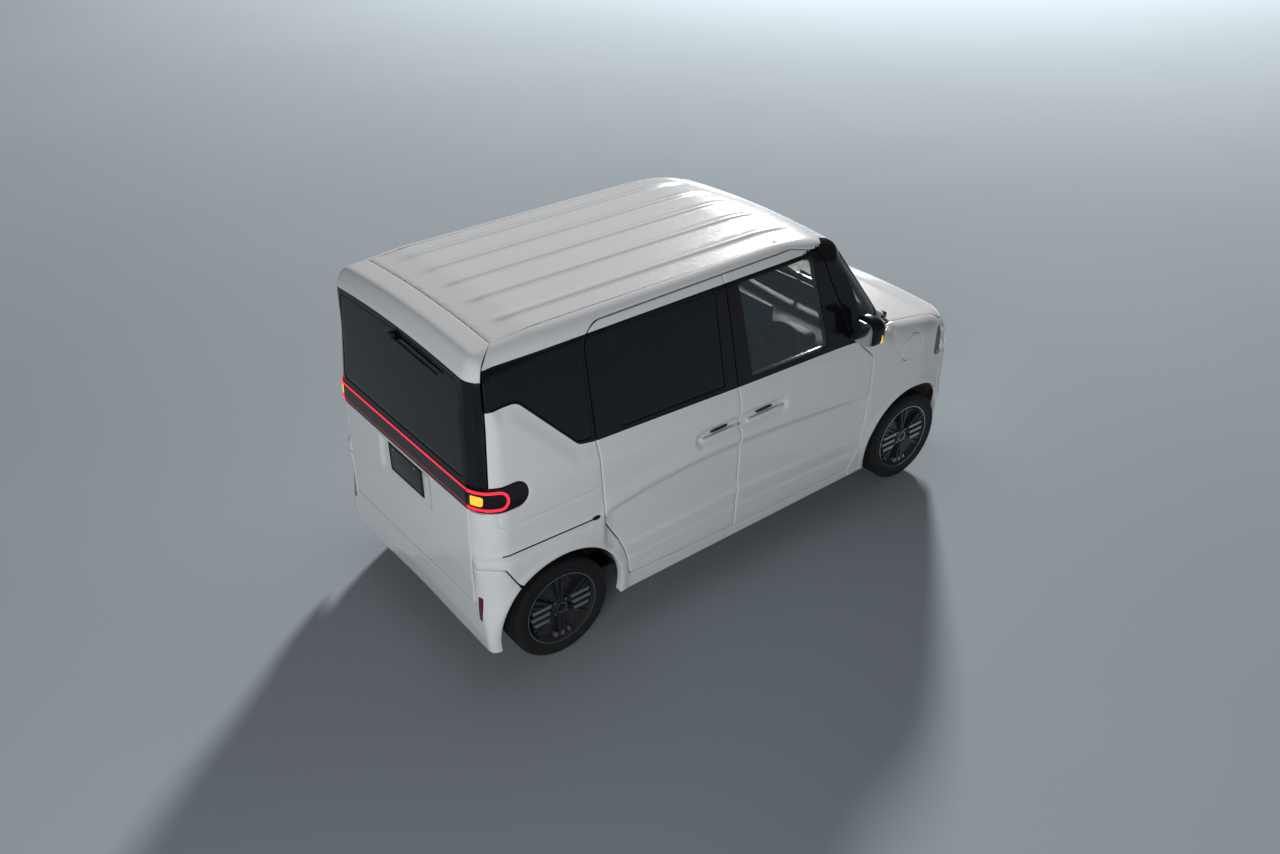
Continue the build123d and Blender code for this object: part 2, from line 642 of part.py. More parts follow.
def battery_pack():
    """Traction battery under the floor."""
    pack = block(REAR_AXLE_X + ARCH_R + 60, FRONT_AXLE_X - ARCH_R - 100, -500, 500, JACK_Z + 15, FLOOR_Z - FIT)
    return chamfer(pack.edges().filter_by(Axis.Z), 40)


def drive_unit():
    """Motor, gearbox and inverter as one block between the front rails."""
    unit = block(FRONT_AXLE_X - 150, FRONT_AXLE_X + 190, -280, 280, 205 + FIT, 640)
    return chamfer(unit.edges().filter_by(Axis.Y), 60)


def front_suspension():
    """Cross member with its lower arms, and a strut on each kingpin line."""
    beam = block(FRONT_AXLE_X - 60, FRONT_AXLE_X + 60, -350, 350, 168, 205)
    arm = block(FRONT_AXLE_X - 26, FRONT_AXLE_X + 26, -(KINGPIN_Y + 20), -340, 172, 190)
    lower = beam + arm + left_of(arm)
    lower += block(FRONT_AXLE_X - 40, FRONT_AXLE_X + 40, 300, 350, 200, FLOOR_Z - FIT)
    lower += block(FRONT_AXLE_X - 40, FRONT_AXLE_X + 40, -350, -300, 200, FLOOR_Z - FIT)
    strut = rod(22, (FRONT_AXLE_X, -KINGPIN_Y, 420.4), (FRONT_AXLE_X, -KINGPIN_Y, STRUT_TOP_Z))
    strut += rod(52, (FRONT_AXLE_X, -KINGPIN_Y, 655), (FRONT_AXLE_X, -KINGPIN_Y, STRUT_TOP_Z))
    return Compound(children=[*lower.solids(), *strut.solids(), *left_of(strut).solids()])


def rear_suspension():
    """Torsion beam with trailing arms and stub axles."""
    beam = rod(38, (REAR_AXLE_X + 150, -500, TYRE_R), (REAR_AXLE_X + 150, 500, TYRE_R))
    arm = block(REAR_AXLE_X - 60, REAR_AXLE_X + 330, -510, -455, TYRE_R - 30, TYRE_R + 30)
    stub = rod(STUB_R, (REAR_AXLE_X, -HUB_FACE_Y - 20, TYRE_R), (REAR_AXLE_X, -480, TYRE_R))
    carrier = rod(62, (REAR_AXLE_X, -HUB_FACE_Y + 75, TYRE_R), (REAR_AXLE_X, -480, TYRE_R))
    damper = rod(26, (REAR_AXLE_X - 30, -482, TYRE_R), (REAR_AXLE_X - 30, -482, REAR_FLOOR_Z - FIT))
    half = arm + stub + carrier + damper
    return beam + half + left_of(half)


def wheelhouses():
    """Inner arches: a half ring and an inner wall at each wheel, with the front strut towers."""
    made = []
    ring_r = ARCH_R + LINER_GAP
    for x, inner_y in ((REAR_AXLE_X, LINER_REAR_Y), (FRONT_AXLE_X, LINER_FRONT_Y)):
        shell = (rod(ring_r + LINER_T, (x, -LINER_OUT_Y, TYRE_R), (x, -inner_y + LINER_T, TYRE_R))
                 - rod(ring_r, (x, -LINER_OUT_Y - 1, TYRE_R), (x, -inner_y, TYRE_R)))
        shell -= block(x - 600, x + 600, -WIDE, WIDE, -200, TYRE_R + 90)
        if x == FRONT_AXLE_X:
            shell += rod(64, (x, -KINGPIN_Y, 600), (x, -KINGPIN_Y, STRUT_TOP_Z + 8))
            shell -= rod(58, (x, -KINGPIN_Y, 500), (x, -KINGPIN_Y, STRUT_TOP_Z + FIT))
            shell &= envelope(WALL + 1)
        made += [*shell.solids(), *left_of(shell).solids()]
    return Compound(children=made)


def bulkhead():
    """Firewall, with the cowl tray under the wipers and the bonnet's hinge brackets."""
    back, top = SCREEN_X - 150, COWL_TRAY_Z
    wall = block(back, back + 12, -560, 560, FLOOR_Z + FLOOR_T + FIT, top) & envelope(WALL + FLANGE_GAP)
    wall = wall - rails(FIT) - LINER_ROOM
    tray = block(back, SCREEN_X + COWL_W - HALF_SEAM, -575, 575, top, top + 12)
    lip = (OUTER - envelope(18)) & block(SCREEN_X + 14, SCREEN_X + COWL_W - SEAM - 1, -600, 600, top, HEIGHT)
    web = block(SCREEN_X + 16, SCREEN_X + 28, -575, 575, top, SCREEN_Z - 8)
    return wall + tray + web + lip + lid_hinges()[1]


def knuckle():
    """Steering knuckle: kingpin post, hub carrier and stub axle."""
    x = FRONT_AXLE_X
    post = rod(22, (x, -KINGPIN_Y, 190.4), (x, -KINGPIN_Y, 420))
    post += rod(58, (x, -HUB_FACE_Y + 75, TYRE_R), (x, -KINGPIN_Y, TYRE_R))
    post += rod(STUB_R, (x, -HUB_FACE_Y - 20, TYRE_R), (x, -KINGPIN_Y, TYRE_R))
    post += block(x - 150, x - 10, -KINGPIN_Y - 12, -KINGPIN_Y + 12, TYRE_R - 60, TYRE_R - 40)
    return post


def wheel_at(x):
    """Rim barrel with its spoked face, hub and brake disc, right-hand side."""
    def ring(r_out, r_in, y0, y1):
        return rod(r_out, (x, -y1, TYRE_R), (x, -y0, TYRE_R)) - rod(r_in, (x, -y1 - 1, TYRE_R), (x, -y0 + 1, TYRE_R))

    y_in, y_out = WHEEL_Y - 70, WHEEL_Y + 70
    rim = ring(BEAD_R - 2, BEAD_R - 9, y_in, y_out)
    rim += ring(RIM_R, BEAD_R - 9, y_out - 2, y_out + 6)
    rim += ring(RIM_R, BEAD_R - 9, y_in - 6, y_in + 2)
    rim += ring(70, STUB_R + STUB_FIT, HUB_FACE_Y - 50, HUB_FACE_Y)
    for k in range(10):
        spoke = block(60, BEAD_R - 5, -HUB_FACE_Y - 6, -HUB_FACE_Y + 12, -14, 14)
        rim += Pos(x, 0, TYRE_R) * Rot(0, 36 * k, 0) * spoke
    rim += ring(122, STUB_R + STUB_FIT, HUB_FACE_Y - 62, HUB_FACE_Y - 48)
    return rim


def tyre_at(x):
    """Tyre with a flat tread and bulged walls, right-hand side."""
    w, r = TYRE_W / 2, TYRE_R
    profile = rounded([
        (BEAD_R - 1.5, -w + 15, 0), (RIM_R + 0.5, -w + 15, 0), (RIM_R + 0.5, -w + 6, 3), (r - 34, -w, 40),
        (r, -w + 14, 20), (r, w - 14, 20), (r - 34, w, 40), (RIM_R + 0.5, w - 6, 3), (RIM_R + 0.5, w - 15, 0),
        (BEAD_R - 1.5, w - 15, 0)])
    plane = Plane(origin=(x, -WHEEL_Y, TYRE_R), x_dir=(1, 0, 0), z_dir=(0, 0, 1))
    axis = Axis((x, -WHEEL_Y, TYRE_R), (0, 1, 0))
    return revolve(plane * profile, axis=axis)


# ---------------------------------------------------------------- cabin
SEAT_Y = 345.0
SEAT_X = -20.0            # hip point of the front seats
FLOOR_TOP = FLOOR_Z + FLOOR_T


def seat(x, y, width, lift=FLOOR_TOP, base_x=None):
    """Cushion and leaning backrest on a plinth that starts at base_x."""
    base = block(x - 200 if base_x is None else base_x, x + 220, y - width / 2 + 40, y + width / 2 - 40, lift, lift + 190)
    cushion = side_prism([
        (x - 260, lift + 190, 30), (x - 250, lift + 320, 40), (x + 260, lift + 350, 50), (x + 270, lift + 190, 40)],
        y - width / 2, y + width / 2)
    back = side_prism([
        (x - 150, lift + 300, 40), (x - 290, lift + 850, 50), (x - 390, lift + 850, 40), (x - 290, lift + 190, 30)],
        y - width / 2, y + width / 2)
    return base + cushion + back


def front_seats():
    """Driver's and passenger's seats with head restraints."""
    made = []
    for y in (-SEAT_Y, SEAT_Y):
        rest = block(SEAT_X - 400, SEAT_X - 310, y - 120, y + 120, FLOOR_TOP + 880, FLOOR_TOP + 1060)
        post = block(SEAT_X - 360, SEAT_X - 345, y - 50, y + 50, FLOOR_TOP + 840, FLOOR_TOP + 890)
        made += (seat(SEAT_X, y, 480) + post + fillet(rest.edges().filter_by(Axis.Y), 30)).solids()
    return Compound(children=made)


def rear_bench():
    """Bench over the rear step with two head restraints."""
    x, lift = REAR_AXLE_X + 420, FLOOR_TOP
    bench = seat(x, 0, 1020, lift, REAR_AXLE_X + ARCH_R + 40 + FLOOR_T + FIT)
    for y in (-SEAT_Y + 70, SEAT_Y - 70):
        rest = block(x - 400, x - 310, y - 110, y + 110, lift + 870, lift + 1030)
        post = block(x - 360, x - 345, y - 50, y + 50, lift + 840, lift + 880)
        bench += post + fillet(rest.edges().filter_by(Axis.Y), 30)
    return bench


def dashboard():
    """Dashboard beam with the centre screen, carried by the firewall."""
    x1 = SCREEN_X - 150 - FIT
    beam = side_prism([
        (x1, 700, 0), (x1 - 250, 720, 40), (x1 - 300, 940, 60), (x1 - 180, 1010, 60), (x1, 1005, 0)], -560, 560)
    screen = block(x1 - 290, x1 - 268, -170, 170, 960, 1150) + block(x1 - 270, x1 - 190, -45, 45, 930, 1000)
    return beam + screen


STEER_AXLE = Vector(-math.cos(math.radians(28)), 0, math.sin(math.radians(28)))
STEER_HUB = Vector(SCREEN_X - 560, -SEAT_Y, 960)


def steering_wheel():
    """Rim, spokes and boss on the column's line."""
    plane = Plane(origin=STEER_HUB, x_dir=(0, 1, 0), z_dir=STEER_AXLE)
    rim = plane * Torus(172, 14)
    boss = extrude(plane * Circle(56), amount=30, both=True)
    bar = plane * Box(330, 34, 16)
    stem = plane * (Pos(0, -86, 0) * Box(34, 160, 16))
    return rim + boss + bar + stem


def steering_column():
    """Shaft cover from the dashboard to the wheel's boss."""
    start = STEER_HUB - STEER_AXLE * 30.5
    return rod(34, start, start - STEER_AXLE * 175)


def door_mirror():
    """Mirror housing on its arm at the front door's upper corner."""
    x, z = DOOR_X - 175, BELT_Z + 60
    arm = block(x - 30, x + 40, -HALF_W - 20, -HALF_W + 26, z - 60, z - 20)
    head = block(x - 60, x + 65, -HALF_W - 175, -HALF_W - 10, z - 62, z + 108)
    head = fillet(head.edges().filter_by(Axis.X), 34)
    return (arm + head) - envelope(-FIT)


def rear_face_x(z):
    """Outer face of the rear glass on the centre line."""
    low, high = SIDE_ROWS[3], SIDE_ROWS[4]
    return low[0] + (high[0] - low[0]) * (z - low[1]) / (high[1] - low[1])


def rear_wiper():
    """Spindle on the glass with its arm and blade."""
    z = GLASS_TOP_Z - 66
    x = rear_face_x(z)
    arm = rod(14, (x + GLASS_SINK - FIT - 1.1, 20, z), (x - 24, 20, z))
    arm += rod(7, (x - 16, 20, z), (x - 16, -430, z - 12)) + rod(8, (x - 9, -130, z - 4), (x - 9, -440, z - 12))
    return arm


def front_wipers():
    """Two arms that rise from the cowl and lie along the screen's foot."""
    made = []
    rake = Vector(-SCREEN_RUN, 0, GLASS_TOP_Z + 22 - SCREEN_Z).normalized()
    off = Vector(rake.Z, 0, -rake.X) * 14
    foot = Vector(SCREEN_X, 0, SCREEN_Z)
    for y0, y1 in ((-480, -20), (60, 440)):
        pivot = Vector(SCREEN_X + 34, y0, SCREEN_Z + 18)
        tip = foot + rake * 105 + off + Vector(0, y1, 0)
        knee = foot + rake * 40 + off + Vector(0, y0 + 60, 0)
        arm = rod(12, (SCREEN_X + 34, y0, SCREEN_Z + 3.9), pivot) + rod(6, pivot, knee) + rod(6, knee, tip)
        made += arm.solids()
    return Compound(children=made)


def save(name, shape):
    """Writes one node."""
    export_step(shape, f"{PARTS}/{name}.step")


def main():
    os.makedirs(PARTS, exist_ok=True)
    side = body_side()
    wing = fender()
    front_door = door(front_door_outline(), front_glass_outline())
    for z in DOOR_HINGE_Z:
        front_door -= door_hinge(z)[0]
    slide = door(sliding_door_outline(), slide_glass_outline())
    panes = {"front_door_glass": side_pane(front_glass_outline()), "sliding_door_glass": side_pane(slide_glass_outline()),
             "rear_quarter_glass": side_pane(rear_quarter_outline()),
             "front_quarter_glass": side_pane(front_quarter_outline())}
    mirror_right = door_mirror()
    made = {
        "body_side_right": side,
        "body_side_left": left_of(side),
        "roof_panel": roof_panel(),
        "fender_right": wing - charge_pocket() + charge_hinge()[1],
        "fender_left": left_of(wing),
        "charge_lid": charge_lid(),
        "charge_inlet": charge_inlet(),
        "front_bumper": front_bumper(),
        "grille": (envelope(6) - envelope(26)) & front_prism(grown(grille_outline(), -FIT), FRONT_AXLE_X, FRONT_X + 50),
        "rear_bumper": rear_bumper(),
        "bonnet": bonnet(),
        "front_door_right": front_door,
        "front_door_left": left_of(front_door),
        "front_door_glass_right": panes["front_door_glass"],
        "front_door_glass_left": left_of(panes["front_door_glass"]),
        "door_mirror_right": mirror_right,
        "door_mirror_left": left_of(mirror_right),
        "sliding_door_right": slide,
        "sliding_door_left": left_of(slide),
        "sliding_door_glass": pair(panes["sliding_door_glass"]),
        "rear_quarter_glass": pair(panes["rear_quarter_glass"]),
        "front_quarter_glass": pair(panes["front_quarter_glass"]),
        "windscreen": GLASS_LAYER & front_prism(grown(windscreen_outline(), -FIT), HEAD_X - 60, SCREEN_X + 10),
        "headlamps": pair((OUTER - envelope(48)) & front_prism(headlamp_outline(0), FRONT_AXLE_X + 200, FRONT_X + 50)
                          & RIGHT),
        "tail_lamps": pair(((OUTER - envelope(50)) & lamp_capsule(0) & RIGHT)
                           - tailgate_zone(SEAM)),
        "tailgate": tailgate() - light_bar(),
        "tailgate_glass": GLASS_LAYER & tailgate_glass_zone(-FIT),
        "light_bar": light_bar(),
        "rear_wiper": rear_wiper(),
        "front_wipers": front_wipers(),
        "floor_pan": floor_pan(),
        "battery_pack": battery_pack(),
        "drive_unit": drive_unit(),
        "front_suspension": front_suspension(),
        "rear_suspension": rear_suspension(),
        "wheelhouses": wheelhouses(),
        "bulkhead": bulkhead(),
        "knuckle_right": knuckle(),
        "knuckle_left": left_of(knuckle()),
        "front_seats": front_seats(),
        "rear_bench": rear_bench(),
        "dashboard": dashboard() + steering_column(),
        "steering_wheel": steering_wheel(),
    }
    for end, x in (("front", FRONT_AXLE_X), ("rear", REAR_AXLE_X)):
        rim, tyre = wheel_at(x), tyre_at(x)
        made[f"wheel_{end}_right"], made[f"wheel_{end}_left"] = rim, left_of(rim)
        made[f"tyre_{end}_right"], made[f"tyre_{end}_left"] = tyre, left_of(tyre)
    for name, shape in made.items():
        save(name, shape)
        print(name, len(shape.solids()))


main()
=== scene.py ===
"""The high-roofed wagon's looks: panels, glass, lamps, wheels and cabin, laid over its engineering frame."""
import json
import math

import bmesh
import bpy
import numpy as np
from mathutils import Matrix, Vector
from mathutils.geometry import delaunay_2d_cdt

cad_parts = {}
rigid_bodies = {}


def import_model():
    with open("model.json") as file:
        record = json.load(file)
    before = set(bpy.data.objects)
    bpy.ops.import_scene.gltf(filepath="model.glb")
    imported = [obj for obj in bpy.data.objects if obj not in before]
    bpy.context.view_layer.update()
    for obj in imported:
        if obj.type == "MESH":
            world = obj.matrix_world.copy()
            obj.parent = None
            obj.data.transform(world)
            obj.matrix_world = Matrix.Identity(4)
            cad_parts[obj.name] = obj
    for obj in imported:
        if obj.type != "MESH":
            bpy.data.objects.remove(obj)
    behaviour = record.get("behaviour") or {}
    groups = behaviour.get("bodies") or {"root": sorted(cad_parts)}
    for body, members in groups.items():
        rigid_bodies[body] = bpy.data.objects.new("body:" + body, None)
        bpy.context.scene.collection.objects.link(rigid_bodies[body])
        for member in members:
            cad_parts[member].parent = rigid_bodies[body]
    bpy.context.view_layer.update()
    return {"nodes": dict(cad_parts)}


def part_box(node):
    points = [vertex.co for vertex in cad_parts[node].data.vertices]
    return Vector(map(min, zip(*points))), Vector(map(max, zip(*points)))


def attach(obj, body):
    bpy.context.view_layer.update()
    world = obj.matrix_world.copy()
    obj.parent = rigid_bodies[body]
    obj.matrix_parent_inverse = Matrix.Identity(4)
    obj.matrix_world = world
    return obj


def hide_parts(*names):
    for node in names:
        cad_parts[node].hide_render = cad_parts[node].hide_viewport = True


for left_over in list(bpy.data.objects):
    bpy.data.objects.remove(left_over)
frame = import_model()
NODES = frame["nodes"]

# ---------------------------------------------------------------- the car's own sizes, in metres
# Long sizes run forwards from the middle, so the tail is negative; heights run up from the ground.
REAR, NOSE = -1.6975, 1.6975
REAR_AXLE, FRONT_AXLE, AXLE_Z, TRACK = -1.2775, 1.2375, 0.281, 1.279
ARCH_R = 0.362
SLIDE_X, B_X, DOOR_X = -1.0395, -0.1475, 0.8595
SCREEN_X, HEAD_X, COWL = 1.0345, 0.5995, 0.052
SILL, BELT = 0.285, 1.150
SEAM = 0.007
WRAP_X = -1.5855
BEADS = (0.0, 0.205, 0.42)      # roof beads, out from the middle
SEAT_LEAN = math.radians(-13)
SHARP = math.radians(38)        # edges sharper than this stay crisp
ON_MIDDLE = 2e-4                # nearer the middle than this, a point is on it
PAD_FRAMES = 20                 # how long a pad is blown up for
# height of the glasshouse's lower edge, from the tail forwards to the front door's edge
HOUSE_FOOT = [1.509, 1.509, 1.472, 1.196, 1.166, 1.128]


# ---------------------------------------------------------------- profiles and the body's skin
def rounded(rows, closed=True, step=0.02):
    """Points along rows of (u, v, corner radius), with an arc at each corner."""
    n = len(rows)
    at = np.array([r[:2] for r in rows], float)
    radius = [r[2] if len(r) > 2 else 0.0 for r in rows]
    cut = np.zeros(n)
    turn = np.zeros(n)
    for i in range(n):
        if not closed and i in (0, n - 1):
            continue
        a, b = at[i - 1] - at[i], at[(i + 1) % n] - at[i]
        cosine = np.clip(a @ b / (np.linalg.norm(a) * np.linalg.norm(b)), -1, 1)
        turn[i] = (math.pi - math.acos(cosine)) / 2
        cut[i] = radius[i] * math.tan(turn[i])
    out = []
    for i in range(n):
        if cut[i] < 1e-6:
            out.append(at[i])
            continue
        before, after = at[i - 1], at[(i + 1) % n]
        la, lb = np.linalg.norm(before - at[i]), np.linalg.norm(after - at[i])
        c = cut[i] * min(1, 0.98 * la / max(cut[i] + cut[i - 1], 1e-9),
                         0.98 * lb / max(cut[i] + cut[(i + 1) % n], 1e-9))
        start, end = at[i] + (before - at[i]) / la * c, at[i] + (after - at[i]) / lb * c
        steps = max(3, int(2 * turn[i] / 0.12), int(2 * c / step))
        for k in range(steps + 1):
            t = k / steps
            w = 1 / math.cos(turn[i])
            top = (1 - t) ** 2 * start + 2 * t * (1 - t) / w * at[i] + t * t * end
            out.append(top / ((1 - t) ** 2 + 2 * t * (1 - t) / w + t * t))
    dense = []
    count = len(out) if closed else len(out) - 1
    for i in range(count):
        a, b = out[i], out[(i + 1) % len(out)]
        parts = max(1, int(np.linalg.norm(b - a) / step))
        dense += [a + (b - a) * k / parts for k in range(parts)]
    return np.array(dense if closed else dense + [out[-1]])


def blended(grid, a, b, s, t):
    """A grid's values at shares s and t of the way from its row a and column b to the next."""
    near = grid[a, b] * (1 - s) + grid[a + 1, b] * s
    far = grid[a, b + 1] * (1 - s) + grid[a + 1, b + 1] * s
    return near * (1 - t) + far * t


class SideProfile:
    """Signed distance to the car's side silhouette, looked up on a grid."""

    STEP = 0.005

    def __init__(self, rows):
        line = rounded(rows, step=0.05)
        self.u = np.arange(-1.95, 1.951, self.STEP)
        self.v = np.arange(0.0, 2.001, self.STEP)
        u, v = np.meshgrid(self.u, self.v, indexing="ij")
        near, inside = np.full(u.shape, 9.0), np.zeros(u.shape, bool)
        for a, b in zip(line, np.roll(line, -1, 0)):
            e = b - a
            t = np.clip(((u - a[0]) * e[0] + (v - a[1]) * e[1]) / (e @ e), 0, 1)
            near = np.minimum(near, (u - a[0] - t * e[0]) ** 2 + (v - a[1] - t * e[1]) ** 2)
            if a[1] != b[1]:
                inside ^= ((a[1] > v) != (b[1] > v)) & (u < a[0] + (v - a[1]) * e[0] / e[1])
        self.grid = np.sqrt(near) * np.where(inside, -1, 1)

    def __call__(self, u, v):
        i = np.clip((u - self.u[0]) / self.STEP, 0, len(self.u) - 2.001)
        j = np.clip((v - self.v[0]) / self.STEP, 0, len(self.v) - 2.001)
        a, b = i.astype(int), j.astype(int)
        return blended(self.grid, a, b, i - a, j - b)


def eased_table(pairs, blur):
    """A smooth curve through pairs of (at, value), as a lookup."""
    at = np.arange(pairs[0][0] - 0.3, pairs[-1][0] + 0.3, 0.004)
    value = np.interp(at, *zip(*pairs))
    kernel = np.hanning(max(3, int(blur / 0.004)) + 2)
    padded = np.pad(value, len(kernel), mode="edge")
    smooth = np.convolve(padded, kernel / kernel.sum(), mode="same")[len(kernel):-len(kernel)]
    return lambda x: np.interp(x, at, smooth)


side_profile = SideProfile([(REAR + 0.014, 0.205, 0.02), (REAR, 0.33, 0.08), (REAR, 0.64, 0.4),
                            (REAR + 0.016, 1.14, 0.6), (REAR + 0.058, 1.71, 0.12),
                            (REAR + 0.096, 1.782, 0.06), (REAR + 0.42, 1.806, 0.9),
                            (HEAD_X - 0.26, 1.799, 1.2), (HEAD_X, 1.722, 0.06), (SCREEN_X, 1.112, 0.02),
                            (SCREEN_X + COWL, 1.116, 0.03), (NOSE - 0.29, 1.062, 0.5),
                            (NOSE - 0.044, 0.985, 0.09), (NOSE, 0.8, 0.2), (NOSE, 0.4, 0.12),
                            (NOSE - 0.05, 0.205, 0.04)])
flank = eased_table([(0.2, 0.7135), (0.48, 0.7375), (1.06, 0.7375), (1.165, 0.7235), (1.767, 0.6615),
                     (1.85, 0.653)], 0.13)
nose_in = eased_table([(-1.7, 0), (1.2975, 0), (1.5675, 0.048), (1.6975, 0.18), (1.75, 0.23)], 0.12)
core_height = eased_table([(-1.7, 1.6), (0.3, 1.6), (0.42, 1.58), (0.6, 1.53), (1.06, 0.945), (1.2, 0.93),
                           (1.7, 0.9)], 0.06)


def smooth(x):
    """0 to 1 with soft ends."""
    x = np.clip(x, 0, 1)
    return x * x * (3 - 2 * x)


def bump(x, width):
    """A soft ridge of height 1 about zero."""
    return np.exp(-(x / width) ** 2)


def relief(x, y, z):
    """How deep the pressings of the sheet lie, in metres; what stands proud is negative."""
    a = np.abs(y)
    side = smooth((a - 0.60) / 0.06)
    depth = np.zeros_like(x)
    # beads along the roof
    roof = smooth((x + 1.40) / 0.10) * smooth((0.44 - x) / 0.12) * (z > 1.70)
    for y0 in BEADS:
        across = (a - y0) / 0.016
        depth -= 0.0065 * roof * smooth(1.6 - np.abs(across))
    # flared lips round the wheel arches
    for cx in (REAR_AXLE, FRONT_AXLE):
        r = np.hypot(x - cx, z - AXLE_Z) - ARCH_R
        depth -= 0.006 * side * smooth(1 - (r - 0.018) / 0.03) * (z < 0.8)
    # the rear quarter swells below its slot, towards the wheel
    slot = 0.768 + (x + 1.605) * (-0.018 / 0.593)
    behind = smooth((SLIDE_X + 0.03 - x) / 0.02) * side
    depth -= 0.017 * behind * smooth((slot - 0.002 - z) / 0.020) * smooth((z - 0.50) / 0.22)
    depth += 0.006 * behind * smooth((z - slot + 0.004) / 0.02) * smooth(1 - (z - slot) / 0.17)
    # soft ridge half way up the doors, and a band between two steps low down
    door = side * smooth((x - SLIDE_X) / 0.08) * smooth((DOOR_X + 0.05 - x) / 0.12)
    ridge = np.interp(x, [-1.05, -0.75, -0.45, -0.10, 0.30, 0.78], [0.770, 0.812, 0.832, 0.828, 0.800, 0.752])
    depth -= 0.0065 * door * smooth(1 + (z - ridge) / 0.035) * smooth(1 - (z - ridge) / 0.10)
    depth += 0.009 * door * smooth((ridge - z) / 0.05)
    for upper, rise in (([0.516, 0.526, 0.469], 0.0075), ([0.418, 0.415, 0.377], 0.0065)):
        step = np.interp(x, [-0.80, -0.13, 0.76], upper)
        depth -= rise * door * smooth((step - z) / 0.016)
    depth -= 0.0035 * door * smooth((0.37 - z) / 0.05)
    # the glass stands in behind a shoulder that follows its lower edge
    foot = np.interp(x, [-1.56, SLIDE_X - 0.43, SLIDE_X - 0.36, SLIDE_X - 0.11, SLIDE_X - 0.03, DOOR_X],
                     HOUSE_FOOT)
    slope = np.interp(x, [SLIDE_X - 0.42, SLIDE_X - 0.36, SLIDE_X - 0.12, SLIDE_X - 0.05],
                      [1.0, 0.68, 0.68, 1.0])
    along = side * smooth((x + 1.57) / 0.06) * smooth((DOOR_X - 0.06 - x) / 0.22) * smooth((1.745 - z) / 0.05)
    depth += 0.011 * along * smooth(1.08 - (foot - z) * slope / 0.085)
    # pocket for both door handles, with rounded ends
    ends = np.maximum(np.abs(x + 0.119) - 0.270, 0)
    pocket = np.hypot(ends, z - 0.926) - 0.026
    depth += 0.017 * side * smooth(1 - pocket / 0.028) * (np.abs(x + 0.119) < 0.4)
    # recess for the number plate
    plate = np.maximum(a - 0.225, 0) ** 2 + np.maximum(np.abs(z - 0.898) - 0.072, 0) ** 2
    depth += 0.014 * (x < -1.5) * smooth(1 - np.sqrt(plate) / 0.035) * smooth((0.45 - a) / 0.05)
    return depth


def body(x, y, z, pressed=True):
    """Signed distance, near enough, to the painted body, with or without its pressings."""
    fold = side_profile(x, z + y * y / 12)
    out = np.abs(y) - (flank(z) - nose_in(x))
    r = 0.03 + 0.065 * smooth((z - 0.32) / 0.3)
    r = r + 0.05 * smooth((-1.45 - x) / 0.15) * smooth((z - 0.3) / 0.2) * smooth((1.7 - z) / 0.3)
    r = r + 0.04 * smooth((x - 1.4) / 0.2) * smooth((z - 0.3) / 0.2)
    corner = np.hypot(np.maximum(fold + r, 0), np.maximum(out + r, 0))
    joined = corner + np.minimum(np.maximum(fold, out) + r, 0) - r
    return joined + relief(x, y, z) if pressed else joined


REAR_CORE, NOSE_CORE, SIDE_CORE = -1.4605, 1.40, 0.551
FAN, TILT = 0.21, 0.18
ARC = FAN * math.pi / 2
REAR_T, NOSE_T = REAR_CORE - ARC - SIDE_CORE, NOSE_CORE + ARC + SIDE_CORE
UP_MAX = TILT * math.radians(86)


def wrap_rays(t, q):
    """Start and direction of rays that find the skin of the right half: t runs tail to nose, q up."""
    back, fore = np.maximum(REAR_CORE - t, 0), np.maximum(t - NOSE_CORE, 0)
    turn = np.where(t < 0, np.minimum(back, ARC), np.minimum(fore, ARC)) / FAN
    x = np.clip(t, REAR_CORE, NOSE_CORE)
    y = -(SIDE_CORE - np.maximum(np.maximum(back, fore) - ARC, 0))
    hx, hy = np.where(t < 0, -np.sin(turn), np.sin(turn)), -np.cos(turn)
    core = core_height(x)
    lift = np.clip((q - core) / TILT, 0, math.radians(88))
    start = np.stack([x, y, np.minimum(q, core)], -1)
    return start, np.stack([hx * np.cos(lift), hy * np.cos(lift), np.sin(lift)], -1)


def drop_rays(x, y):
    """Upright rays, for the roof, the windscreen and the bonnet."""
    start = np.stack([x, y, core_height(x) - 0.25], -1)
    return start, np.broadcast_to([0.0, 0.0, 1.0], start.shape)


def land(rays, u, v):
    """Points where rays leave the body."""
    start, way = rays(np.asarray(u, float), np.asarray(v, float))
    low, high = np.zeros(len(start)), np.full(len(start), 0.62)
    for _ in range(22):
        mid = (low + high) / 2
        p = start + way * mid[:, None]
        inside = body(p[:, 0], p[:, 1], p[:, 2]) < 0
        low, high = np.where(inside, mid, low), np.where(inside, high, mid)
    return start + way * low[:, None]


class SkinTable:
    """The skin on a grid of skin coordinates, for quick searches."""

    STEP = 0.008

    def __init__(self):
        self.t = np.arange(REAR_T - 0.06, NOSE_T + 0.06, self.STEP)
        self.q = np.arange(0.16, 1.62 + UP_MAX, self.STEP)
        t, q = np.meshgrid(self.t, self.q, indexing="ij")
        self.at = land(wrap_rays, t.ravel(), q.ravel()).reshape(*t.shape, 3)

    def __call__(self, t, q):
        i = np.clip((t - self.t[0]) / self.STEP, 0, len(self.t) - 2.001)
        j = np.clip((q - self.q[0]) / self.STEP, 0, len(self.q) - 2.001)
        a, b = i.astype(int), j.astype(int)
        return blended(self.at, a, b, (i - a)[:, None], (j - b)[:, None])


skin_at = SkinTable()


def facing(p, pressed=True):
    """Outward normals of the body at points."""
    e = 8e-4 if pressed else 3e-3
    g = np.stack([body(*(p + d).T, pressed) - body(*(p - d).T, pressed) for d in e * np.eye(3)], -1)
    return g / np.linalg.norm(g, axis=1, keepdims=True)


def search(low, high, rises, steps=18):
    """Bisection of many values at once."""
    low, high = np.array(low, float), np.array(high, float)
    for _ in range(steps):
        mid = (low + high) / 2
        up = rises(mid)
        low, high = np.where(up, mid, low), np.where(up, high, mid)
    return (low + high) / 2


